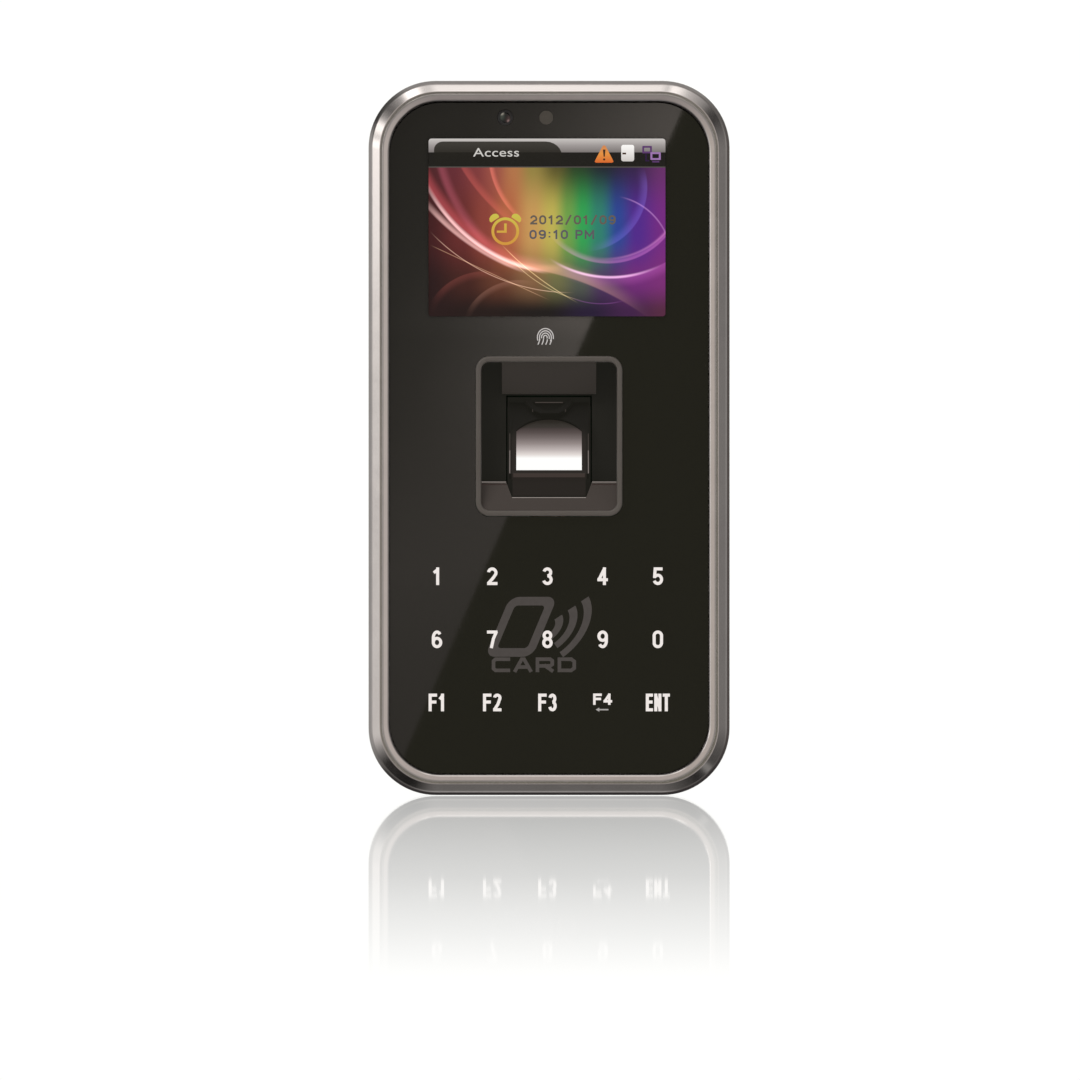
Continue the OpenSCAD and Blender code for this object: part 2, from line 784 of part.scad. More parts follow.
// Network socket in the cable bay, with its mouth facing down
module lan_jack() {
    x = [-21.5, -5.5];
    y = [-15.5, 5.5];
    z = [2.6, board_depth];
    color("silver") stand() difference() {
        box(x, y, z);
        box([x[0] + 2.1, x[1] - 2.1], [y[0] - 1, y[1] - 6], [z[0] + 2, z[0] + 9]);
        box([x[0] + 5, x[1] - 5], [y[0] - 1, y[1] - 6], [z[0] + 8.9, z[0] + 11.6]);
    }
}

terminal_ways = 6;
terminal_pitch = 3.81;
terminal_x = 0;

module terminal_block() {
    w = terminal_ways * terminal_pitch;
    low = board_depth - 9.2;
    color("seagreen") stand() difference() {
        box([terminal_x, terminal_x + w], [-4, 5], [low, board_depth]);
        for (i = [0:terminal_ways - 1]) translate([terminal_x + (i + 0.5) * terminal_pitch, 0, 0]) {
            // Wire mouth from below, and the screw's shaft from behind
            box([-1.3, 1.3], [-5, 1], [board_depth - 5.6, board_depth - 2.2]);
            translate([0, 1.2, 0]) cylinder(r = 1.5, h = low + 2);
        }
    }
}

module terminal_screws() {
    low = board_depth - 9.2;
    color("silver") stand() for (i = [0:terminal_ways - 1])
        translate([terminal_x + (i + 0.5) * terminal_pitch, 1.2, low + 0.6]) difference() {
            cylinder(r = 1.45, h = 1.4);
            translate([-2, -0.25, -1]) cube([4, 0.5, 1.5]);
        }
}

// ---------- Tamper switch ----------

tamper_body_depth = 12.2;
plunger_flange = 8;

module tamper_switch() {
    color("#202020") stand() difference() {
        translate([tamper_at[0], tamper_at[1], 0]) slab(6, 6, 0.4, tamper_body_depth, board_depth);
        post(tamper_at, 1.57, tamper_body_depth - 1, 15);
    }
}

module tamper_plunger() {
    color("ivory") stand() {
        post(tamper_at, 1.5, plate_t + 0.05, 13.2);
        post(tamper_at, 2.5, plunger_flange - 0.6, plunger_flange);
    }
}

// Round wire swept along a helix, with flat ends inside the coil's own height
module tamper_spring() {
    turns = 4.5;
    wire_r = 0.2;
    coil_r = 2;
    steps = 14;
    sides = 8;
    height = tamper_body_depth - plunger_flange - 2 * wire_r - 0.1;
    rings = turns * steps;
    rise = height / rings;
    points = [for (i = [0:rings], k = [0:sides - 1])
        let (a = 360 * i / steps, b = 360 * k / sides, r = coil_r + wire_r * cos(b))
            [r * cos(a), r * sin(a), i * rise + wire_r * sin(b)]];
    walls = [for (i = [0:rings - 1], k = [0:sides - 1])
        [i * sides + k, (i + 1) * sides + k, (i + 1) * sides + (k + 1) % sides, i * sides + (k + 1) % sides]];
    ends = [[for (k = [0:sides - 1]) k], [for (k = [sides - 1:-1:0]) rings * sides + k]];
    color("silver") stand()
        translate([tamper_at[0], tamper_at[1], plunger_flange + wire_r + 0.05])
            polyhedron(points, concat(walls, ends));
}

// ---------- Speaker, USB socket and reset button ----------

// Local frame of a part that faces down through the bottom wall: Z is up
module facing_down(x, depth, z) {
    translate([x, -depth, z]) children();
}

module speaker() {
    color("#2b2b2b") facing_down(speaker_x, speaker_depth, speaker_z) difference() {
        union() {
            cylinder(r = 9.4, h = 1.2);
            cylinder(r1 = 9.2, r2 = 5.6, h = 3);
            cylinder(r = 5.6, h = 4.8);
        }
        translate([0, 0, -eps]) cylinder(r1 = 8.2, r2 = 3, h = 2);
    }
}

module speaker_gasket() {
    color("#444444") facing_down(speaker_x, speaker_depth, speaker_z - gasket_t) difference() {
        cylinder(r = 9.3, h = gasket_t);
        translate([0, 0, -1]) cylinder(r = 8.3, h = 3);
    }
}

module usb_socket() {
    front = side_x - 3.6;
    back = front - 14;
    w = 6.7;
    t = 3;
    skin = 0.35;
    color("silver") stand() translate([0, usb_z, usb_depth]) difference() {
        union() {
            box([back, front], [-w, w], [-t, t]);
            for (y = [-w + 1, w - 2]) box([back + 2, back + 4], [y, y + 1], [board_face - usb_depth, -t + 1]);
        }
        box([back + 2, front + 1], [-w + skin, w - skin], [-t + skin, t - skin]);
    }
    color("white") stand() translate([0, usb_z, usb_depth])
        box([back + 1, front - 0.6], [-5.5, 5.5], [-0.1, 1.75]);
}

module usb_cover() {
    plate = 1.1;
    color("#262524") stand() {
        box([side_x - plate, side_x], [usb_z - 9.9, usb_z + 9.9], [usb_depth - 4.6, usb_depth + 4.6]);
        // Lip that plugs the hole in the wall
        box([side_x - 3.2, side_x - plate + eps], [usb_z - 6.6, usb_z + 6.6], [usb_depth - 3.1, usb_depth + 3.1]);
        // Knuckle at the lower end
        translate([knuckle_x, knuckle_z, usb_depth - 4.6]) cylinder(r = 0.9, h = 9.2);
        box([side_x - plate, side_x], [knuckle_z, usb_z - 9.8], [usb_depth - 4.6, usb_depth + 4.6]);
    }
}

reset_tip = -72.6;

module reset_switch() {
    low = reset_tip + 0.5;
    color("#202020") facing_down(reset_x, reset_depth, low) difference() {
        translate([-3, -2, 0]) cube([6, 4, 4.2]);
        translate([0, 0, -1]) cylinder(r = 1, h = 2.2);
    }
    // Leg that holds the switch to the main board's lower edge
    color("#202020") stand() box([reset_x - 3, reset_x + 3], [low + 2.2, low + 7.4], [board_face, reset_depth - 2 + eps]);
}

module reset_button() {
    outer = bottom_z + 0.3;
    flange = bottom_z + shell_t + 0.1;
    color("#3a3938") {
        facing_down(reset_x, reset_depth, outer) cylinder(r = 1.45, h = reset_tip - outer);
        facing_down(reset_x, reset_depth, flange) cylinder(r = 2.3, h = 0.8);
    }
}

// ---------- Assembly ----------

wall_plate();
lock_washer();
lock_screw();
lock_insert();
rear_housing();
housing_gasket();
case_screws();
front_chassis();
front_bezel();
window_tape();
window_print();
front_window();
screen_frame();
screen_backlight();
screen_panel();
screen_bracket();
bracket_screws();
screen_flex();
camera_board();
camera_body();
camera_lens();
infrared_lamp();
touch_board();
key_lamps();
key_diffuser();
antenna_board();
antenna_coil();
antenna_pads();
well_trim();
finger_well();
sensor_cover();
platen_seal();
platen_prism();
sensor_body();
sensor_lens();
sensor_board();
sensor_chip();
platen_lamps();
sensor_cable();
main_board();
board_screws();
processor();
memory_chips();
radio_shield();
power_parts();
relay();
clock_battery();
lan_jack();
terminal_block();
terminal_screws();
tamper_switch();
tamper_plunger();
tamper_spring();
speaker();
speaker_gasket();
usb_socket();
usb_cover();
reset_switch();
reset_button();
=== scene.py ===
"""Looks of the fingerprint access terminal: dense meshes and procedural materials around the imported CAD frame.

Lengths are in millimetres until they reach Blender. A point is (x, depth, z): x to the right, depth out of the
wall towards the viewer, and z up. Object coordinates in the materials are metres in the row frame.
"""

import math

import bmesh
import bpy
import numpy as np
from mathutils import Matrix, Vector

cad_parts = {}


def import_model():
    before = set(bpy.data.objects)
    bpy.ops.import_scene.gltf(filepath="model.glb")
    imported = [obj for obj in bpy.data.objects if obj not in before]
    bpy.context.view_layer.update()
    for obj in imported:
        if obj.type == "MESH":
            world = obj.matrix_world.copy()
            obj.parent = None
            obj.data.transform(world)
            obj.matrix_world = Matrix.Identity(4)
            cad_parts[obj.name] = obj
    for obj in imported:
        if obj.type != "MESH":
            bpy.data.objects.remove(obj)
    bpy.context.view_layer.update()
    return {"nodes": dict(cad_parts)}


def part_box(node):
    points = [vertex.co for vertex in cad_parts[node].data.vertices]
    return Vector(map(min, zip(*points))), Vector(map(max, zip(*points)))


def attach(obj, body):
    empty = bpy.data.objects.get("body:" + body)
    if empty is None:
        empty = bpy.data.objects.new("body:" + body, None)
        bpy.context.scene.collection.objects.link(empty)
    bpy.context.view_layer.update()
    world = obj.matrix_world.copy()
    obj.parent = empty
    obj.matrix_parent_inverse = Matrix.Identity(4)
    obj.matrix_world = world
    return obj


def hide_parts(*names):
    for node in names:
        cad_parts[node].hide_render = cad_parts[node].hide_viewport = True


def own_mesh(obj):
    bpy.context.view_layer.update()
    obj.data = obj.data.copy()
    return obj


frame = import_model()
nodes = frame["nodes"]
MM = 0.001

# ---------------------------------------------------------------- sizes taken from the frame


def node_box(node):
    """A CAD node's box as ((x, depth, z) low, (x, depth, z) high) in millimetres."""
    low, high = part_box(node)
    return (low.x / MM, -high.y / MM, low.z / MM), (high.x / MM, -low.y / MM, high.z / MM)


(_, back_depth, _), (case_x, crest, case_z) = node_box("front_bezel")
(_, glass_back, _), (glass_x, glass_face, glass_z) = node_box("front_window")
trim_top = node_box("well_trim")[1][1]
panel_low, panel_high = node_box("screen_panel")
CASE_R = 16.4
WINDOW_R = 12.4
MARGIN = 5.2
FRONT_X = -0.5
SCREEN = (57.6, 43.2, 51.3)
WELL_Z = 0.4
WELL = (33.0, 36.2)
TRIM = 1.35
TRIM_R = 3.4
CAMERA_AT = (-10.7, 78.1)
LAMP_AT = (-0.7, 78.1)
WHITE = (1, 1, 0.985, 1)
WHITE_LEVEL = 1.02
FLOOR_GAP = 0.0001

# ---------------------------------------------------------------- mesh helpers


def point(x, depth, z):
    return Vector((x * MM, -depth * MM, z * MM))


def link(name, data):
    obj = bpy.data.objects.new(name, data)
    bpy.context.scene.collection.objects.link(obj)
    return obj


def bare_mesh(name, vertices, faces):
    mesh = bpy.data.meshes.new(name)
    mesh.from_pydata([tuple(v) for v in vertices], [], faces)
    return link(name, mesh)


def finish_mesh(obj, material, sharp=32):
    bm = bmesh.new()
    bm.from_mesh(obj.data)
    bmesh.ops.remove_doubles(bm, verts=bm.verts, dist=1e-7)
    bmesh.ops.recalc_face_normals(bm, faces=bm.faces)
    bm.to_mesh(obj.data)
    bm.free()
    obj.data.shade_smooth()
    obj.data.set_sharp_from_angle(angle=math.radians(sharp))
    obj.data.materials.clear()
    obj.data.materials.append(material)
    return obj


def rounded(w, h, r, cx=0.0, cz=0.0, steps=12):
    """Points of a rounded rectangle, anticlockwise from the right-hand side's lower end."""
    points = []
    for sx, sz, start in ((1, 1, 0), (-1, 1, 90), (-1, -1, 180), (1, -1, 270)):
        for i in range(steps + 1):
            a = math.radians(start + 90 * i / steps)
            points.append((cx + sx * (w / 2 - r) + r * math.cos(a), cz + sz * (h / 2 - r) + r * math.sin(a)))
    return points


def circle(cx, cz, r, steps=40):
    return [(cx + r * math.cos(2 * math.pi * i / steps), cz + r * math.sin(2 * math.pi * i / steps))
            for i in range(steps)]


def loft(name, rings, material, closed=True, sharp=32):
    """Skin over loops of equal length. With closed, the last loop joins the first, as on a frame."""
    count = len(rings[0])
    vertices = [v for ring in rings for v in ring]
    faces = []
    last = len(rings) if closed else len(rings) - 1
    for i in range(last):
        a, b = i * count, ((i + 1) % len(rings)) * count
        for k in range(count):
            n = (k + 1) % count
            faces.append((a + k, a + n, b + n, b + k))
    if not closed:
        faces.append(tuple(range(count - 1, -1, -1)))
        faces.append(tuple(range((len(rings) - 1) * count, len(rings) * count)))
    return finish_mesh(bare_mesh(name, vertices, faces), material, sharp)


def plate(name, loops, low, high, material, bevel=0.0):
    """A flat plate with the outline loops[0] and the holes loops[1:], between two depths, with rounded edges."""
    curve = bpy.data.curves.new(name, "CURVE")
    curve.dimensions = "2D"
    curve.fill_mode = "BOTH"
    for loop in loops:
        spline = curve.splines.new("POLY")
        spline.points.add(len(loop) - 1)
        for p, (x, z) in zip(spline.points, loop):
            p.co = (x * MM, z * MM, 0, 1)
        spline.use_cyclic_u = True
    curve.extrude = ((high - low) / 2 - bevel) * MM
    curve.bevel_depth = bevel * MM
    curve.bevel_resolution = 2
    curve.offset = -bevel * MM
    return from_curve(name, curve, (low + high) / 2, material)


def from_curve(name, curve, depth, material, sharp=32):
    """Turns a flat curve or a text into an upright mesh at a depth."""
    temp = link(name + "_outline", curve)
    bpy.context.view_layer.update()
    evaluated = temp.evaluated_get(bpy.context.evaluated_depsgraph_get())
    mesh = bpy.data.meshes.new_from_object(evaluated)
    bpy.data.objects.remove(temp)
    bpy.data.curves.remove(curve)
    mesh.name = name
    mesh.transform(Matrix.Translation((0, -depth * MM, 0)) @ Matrix.Rotation(math.pi / 2, 4, "X"))
    return finish_mesh(link(name, mesh), material, sharp)


def lettering(name, words, cx, cz, height, width, depth, thick, material, bold):
    """Plain lettering of a given cap height and width, centred on (cx, cz)."""
    curve = bpy.data.curves.new(name, "FONT")
    curve.body = words
    curve.size = 1
    curve.offset = bold
    curve.resolution_u = 6
    curve.space_character = 1.04
    obj = from_curve(name, curve, 0, material, 60)
    co = np.array([v.co for v in obj.data.vertices])
    low, high = co.min(0), co.max(0)
    scale = Matrix.Diagonal((width * MM / (high[0] - low[0]), 1, height * MM / (high[2] - low[2]), 1))
    centre = Vector((-(low[0] + high[0]) / 2, 0, -(low[2] + high[2]) / 2))
    obj.data.transform(Matrix.Translation((cx * MM, -depth * MM, cz * MM)) @ scale @ Matrix.Translation(centre))
    return thicken(obj, thick, material)


def thicken(obj, thick, material):
    """Gives a flat outline at one depth a thickness towards the wall."""
    bm = bmesh.new()
    bm.from_mesh(obj.data)
    for f in bm.faces:
        if f.normal.y > 0:
            f.normal_flip()
    out = bmesh.ops.extrude_face_region(bm, geom=list(bm.faces))
    moved = [g for g in out["geom"] if isinstance(g, bmesh.types.BMVert)]
    bmesh.ops.translate(bm, verts=moved, vec=(0, thick * MM, 0))
    bm.to_mesh(obj.data)
    bm.free()
    return finish_mesh(obj, material, 60)


def ribbon(points, width, closed=False, cap=0.0):
    """Outline of a line of even width, with mitred corners and ends extended: one loop, or two when closed."""
    points = list(points)
    count = len(points)
    if not closed:
        for end, beside in ((0, 1), (-1, -2)):
            (x0, z0), (x1, z1) = points[end], points[beside]
            d = math.hypot(x1 - x0, z1 - z0) or 1
            if d > cap:
                points[end] = (x0 + (x0 - x1) / d * cap, z0 + (z0 - z1) / d * cap)
    sides = ([], [])
    for i, (x, z) in enumerate(points):
        lines = []
        if i or closed:
            lines.append((points[i - 1], (x, z)))
        if i < count - 1 or closed:
            lines.append(((x, z), points[(i + 1) % count]))
        normals = []
        for (x0, z0), (x1, z1) in lines:
            d = math.hypot(x1 - x0, z1 - z0) or 1
            normals.append((-(z1 - z0) / d, (x1 - x0) / d))
        nx, nz = (sum(v) / len(normals) for v in zip(*normals))
        square = max(nx * nx + nz * nz, 0.16)
        for sign, side in zip((1, -1), sides):
            side.append((x + sign * nx / square * width / 2, z + sign * nz / square * width / 2))
    return [sides[0], sides[1]] if closed else [sides[0] + sides[1][::-1]]


def arc(cx, cz, r, start, end, steps=18, rz=None):
    rz = r if rz is None else rz
    return [(cx + r * math.cos(math.radians(start + (end - start) * i / steps)),
             cz + rz * math.sin(math.radians(start + (end - start) * i / steps))) for i in range(steps + 1)]


def joined(name, objects):
    """One object made of several that share a material."""
    bm = bmesh.new()
    for o in objects:
        bm.from_mesh(o.data)
    material = objects[0].data.materials[0]
    for o in objects:
        bpy.data.objects.remove(o)
    mesh = bpy.data.meshes.new(name)
    bm.to_mesh(mesh)
    bm.free()
    return finish_mesh(link(name, mesh), material, 40)


def oval(x0, z0, x1, z1, start=0, end=360, steps=28, straight=True):
    """Part of a narrow oval in a box: straight sides between half circles, or an ellipse."""
    cx, cz, rx, rz = (x0 + x1) / 2, (z0 + z1) / 2, (x1 - x0) / 2, (z1 - z0) / 2
    if not straight or rz < rx:
        return arc(cx, cz, rx, start, end, steps, rz)
    return [(x, z + math.copysign(rz - rx, math.sin(math.radians(start + (end - start) * i / steps))))
            for i, (x, z) in enumerate(arc(cx, cz, rx, start, end, steps))]


def strokes(letter, w, h):
    """Centre lines of a narrow sans-serif letter or figure in a box w by h, each as (points, closed)."""
    mid = 0.53 * h
    bowl = 0.57 * h
    if letter == "0":
        return [(oval(0, 0, w, h)[:-1], True)]
    if letter == "1":
        return [([(0.62 * w, 0), (0.62 * w, h)], False), ([(0.12 * w, 0.8 * h), (0.5 * w, 0.92 * h)], False)]
    if letter == "2":
        top = oval(0, h - w * 1.05, w, h, 170, -25, straight=False)
        return [(top + [(0.62 * w, 0.38 * h), (0.1 * w, 0.08 * h)], False), ([(0.02 * w, 0), (w, 0)], False)]
    if letter == "3":
        upper = oval(0.04 * w, mid, 0.94 * w, h, 165, -90, straight=False)
        return [(upper, False), (oval(0, 0, w, mid, 90, -165, straight=False), False)]
    if letter == "4":
        return [([(0.74 * w, 0), (0.74 * w, h)], False), ([(0.7 * w, 0.98 * h), (0.04 * w, 0.3 * h)], False),
                ([(0, 0.26 * h), (w, 0.26 * h)], False)]
    if letter == "5":
        low = oval(0, 0, w, bowl, 138, -160, straight=False)
        return [([(0.93 * w, h), (0.14 * w, h), (0.07 * w, 0.48 * h)], False), (low, False)]
    if letter in "69":
        lines = [(oval(0, 0, w, bowl, straight=False)[:-1], True),
                 (oval(0, 0.2 * h, w, h, 38, 180, straight=False) + [(0, 0.3 * h)], False)]
        return lines if letter == "6" else [([(w - x, h - z) for x, z in line], c) for line, c in lines]
    if letter == "7":
        return [([(0, h), (w, h)], False), ([(w, 0.94 * h), (0.66 * w, 0.55 * h), (0.42 * w, 0)], False)]
    if letter == "8":
        return [(oval(0.05 * w, mid, 0.95 * w, h, straight=False)[:-1], True),
                (oval(0, 0, w, mid, straight=False)[:-1], True)]
    lines = {
        "F": [[(0, 0), (0, h), (w, h)], [(0, mid), (0.88 * w, mid)]],
        "E": [[(w, h), (0, h), (0, 0), (w, 0)], [(0, mid), (0.9 * w, mid)]],
        "N": [[(0, 0), (0, h)], [(w, 0), (w, h)], [(0.06 * w, 0.9 * h), (0.94 * w, 0.1 * h)]],
        "T": [[(0, h), (w, h)], [(0.5 * w, 0), (0.5 * w, h)]],
        "M": [[(0, 0), (0, h)], [(w, 0), (w, h)], [(0.06 * w, 0.9 * h), (0.5 * w, 0.3 * h), (0.94 * w, 0.9 * h)]],
        "P": [[(0, 0), (0, h)], [(0, h)] + oval(0.3 * w, 0.45 * h, w, h, 80, -80, 12) + [(0, 0.45 * h)]],
        "C": [[(w, h), (0.14 * w, h), (0, 0.84 * h), (0, 0.16 * h), (0.14 * w, 0), (w, 0)]],
        "A": [[(0, 0), (0.42 * w, h), (0.58 * w, h), (w, 0)], [(0.2 * w, 0.3 * h), (0.8 * w, 0.3 * h)]],
        "R": [[(0, 0), (0, h)], [(0.55 * w, 0.38 * h), (0.96 * w, 0)],
              [(0, h), (0.86 * w, h), (w, 0.86 * h), (w, 0.54 * h), (0.86 * w, 0.4 * h), (0, 0.4 * h)]],
        "D": [[(0, 0), (0, h)], [(0, h), (0.8 * w, h), (w, 0.8 * h), (w, 0.2 * h), (0.8 * w, 0), (0, 0)]],
        "/": [[(0.1 * w, -0.05 * h), (0.9 * w, 1.05 * h)]],
        ":": [[(0.5 * w, f * h) for f in (0.1, 0.2, 0.3)], [(0.5 * w, f * h) for f in (0.64, 0.74, 0.84)]],
    }
    return [(line, False) for line in lines.get(letter, [])]


def stroked(name, words, cx, cz, height, width, gap, line, front, material):
    """Words of even strokes, centred on (cx, cz). width is one letter's, and a colon or a blank is narrower."""
    widths = [width * {"1": 0.8, ":": 0.45, " ": 0.5, "M": 1.3}.get(c, 1.0) for c in words]
    x = cx - (sum(widths) + gap * (len(words) - 1)) / 2
    parts = []
    for letter, w in zip(words, widths):
        for k, (points, closed) in enumerate(strokes(letter, w - line, height - line)):
            moved = [(px + x + line / 2, pz + cz - height / 2 + line / 2) for px, pz in points]
            depth = front - 0.004 * k
            parts.append(plate(f"{name}_{len(parts)}", ribbon(moved, line, closed, line / 2), depth - 0.018, depth,
                               material))
        x += w + gap
    return joined(name, parts)


# ---------------------------------------------------------------- material helpers


class Nodes:
    """Short calls for building a node tree."""

    def __init__(self, tree):
        self.tree = tree

    def add(self, kind, **values):
        node = self.tree.nodes.new(kind)
        for key, value in values.items():
            setattr(node, key, value)
        return node

    def put(self, socket, value):
        if isinstance(value, bpy.types.NodeSocket):
            self.tree.links.new(value, socket)
        else:
            socket.default_value = value

    def math(self, operation, *values, clamp=False):
        node = self.add("ShaderNodeMath", operation=operation, use_clamp=clamp)
        for socket, value in zip(node.inputs, values):
            self.put(socket, value)
        return node.outputs[0]

    def times(self, first, *others):
        for value in others:
            first = self.math("MULTIPLY", first, value)
        return first

    def length(self, dx, dy):
        return self.math("SQRT", self.math("ADD", self.times(dx, dx), self.times(dy, dy)))

    def smooth(self, value, low, high, to_low=0.0, to_high=1.0):
        node = self.add("ShaderNodeMapRange", interpolation_type="SMOOTHSTEP")
        for socket, v in zip(node.inputs, (value, low, high, to_low, to_high)):
            self.put(socket, v)
        return node.outputs[0]

    def ramp(self, value, stops, interpolation="LINEAR"):
        node = self.add("ShaderNodeValToRGB")
        node.color_ramp.interpolation = interpolation
        elements = node.color_ramp.elements
        while len(elements) > 1:
            elements.remove(elements[-1])
        elements[0].position, elements[0].color = stops[0][0], rgba(stops[0][1])
        for at, colour in stops[1:]:
            elements.new(at).color = rgba(colour)
        self.put(node.inputs[0], value)
        return node.outputs[0]

    def level(self, value, stops):
        return self.ramp(value, [(at, (v,) * 3) for at, v in stops])

    def mix(self, share, a, b, blend="MIX"):
        node = self.add("ShaderNodeMix", data_type="RGBA", blend_type=blend)
        self.put(node.inputs[0], share)
        self.put(node.inputs[6], rgba(a) if isinstance(a, (tuple, list)) else a)
        self.put(node.inputs[7], rgba(b) if isinstance(b, (tuple, list)) else b)
        return node.outputs[2]

    def blend(self, share, a, b):
        """Mix of two shaders."""
        node = self.add("ShaderNodeMixShader")
        for socket, value in zip(node.inputs, (share, a.outputs[0], b.outputs[0])):
            self.put(socket, value)
        return node

    def noise(self, vector, scale, detail=3.0, roughness=0.55):
        node = self.add("ShaderNodeTexNoise")
        self.put(node.inputs["Vector"], vector)
        fix(node, Scale=scale, Detail=detail, Roughness=roughness)
        return node.outputs[0]

    def place(self):
        return self.add("ShaderNodeTexCoord").outputs["Object"]

    def place_mm(self):
        """Object coordinates as x, depth and z in millimetres."""
        parts = self.add("ShaderNodeSeparateXYZ")
        self.put(parts.inputs[0], self.place())
        return [self.math("DIVIDE", part, unit) for part, unit in zip(parts.outputs, (MM, -MM, MM))]

    def relief(self, shader, height, strength, distance):
        bump = self.add("ShaderNodeBump")
        fix(bump, Strength=strength, Distance=distance)
        self.put(bump.inputs["Height"], height)
        self.put(shader.inputs["Normal"], bump.outputs[0])

    def rough(self, shader, fine, low, high):
        """Roughness that varies a little from place to place."""
        self.put(shader.inputs["Roughness"], self.smooth(fine, 0.3, 0.7, low, high))


def fix(node, **values):
    """Sets sockets to fixed values. A blank in a socket's name is written as _."""
    for key, value in values.items():
        node.inputs[key.replace("_", " ")].default_value = value


def rgba(colour):
    return tuple(colour) if len(colour) == 4 else (*colour, 1.0)


def screen_colour(r, g, b):
    """Linear colour of 8-bit screen values."""
    def linear(v):
        v /= 255
        return v / 12.92 if v <= 0.04045 else ((v + 0.055) / 1.055) ** 2.4
    return (linear(r), linear(g), linear(b))


def new_material(name):
    material = bpy.data.materials.new(name)
    material.use_nodes = True
    return material, Nodes(material.node_tree), material.node_tree.nodes["Principled BSDF"]


def empty_material(name):
    material, n, _ = new_material(name)
    n.tree.nodes.clear()
    return material, n


def surface(name, dark, light, rough=(0.4, 0.5), metallic=0.0, grain=900.0, bump=0.1, height=0.02, coat=0.0,
            specular=0.5, stretch=(1, 1, 1), detail=4.0):
    """A moulded, cast, rolled or painted surface: two close tones, roughness that varies, and a fine relief."""
    material, n, shader = new_material(name)
    place = n.place()
    if stretch != (1, 1, 1):
        mapping = n.add("ShaderNodeMapping")
        fix(mapping, Scale=stretch)
        n.put(mapping.inputs["Vector"], place)
        place = mapping.outputs[0]
    broad = n.noise(place, grain * 0.06, 2.0)
    fine = n.noise(place, grain, detail)
    both = n.math("ADD", n.times(broad, 0.6), n.times(fine, 0.4))
    n.put(shader.inputs["Base Color"], n.ramp(both, [(0.35, dark), (0.65, light)]))
    n.rough(shader, both, *rough)
    fix(shader, Metallic=metallic, Specular_IOR_Level=specular, Coat_Weight=coat, Coat_Roughness=0.04)
    n.relief(shader, fine, bump, height * MM)
    return material


def glow(name, colour, strength=1.0, base=(0.004, 0.004, 0.004)):
    """A lit surface with a slight unevenness."""
    material, n, shader = new_material(name)
    uneven = n.noise(n.place(), 700.0, 2.0)
    tint = n.mix(n.smooth(uneven, 0.3, 0.7), tuple(c * 0.93 for c in colour), colour)
    n.put(shader.inputs["Emission Color"], tint)
    fix(shader, Emission_Strength=strength, Base_Color=rgba(base), Roughness=0.5, Specular_IOR_Level=0.05)
    return material


# ---------------------------------------------------------------- materials

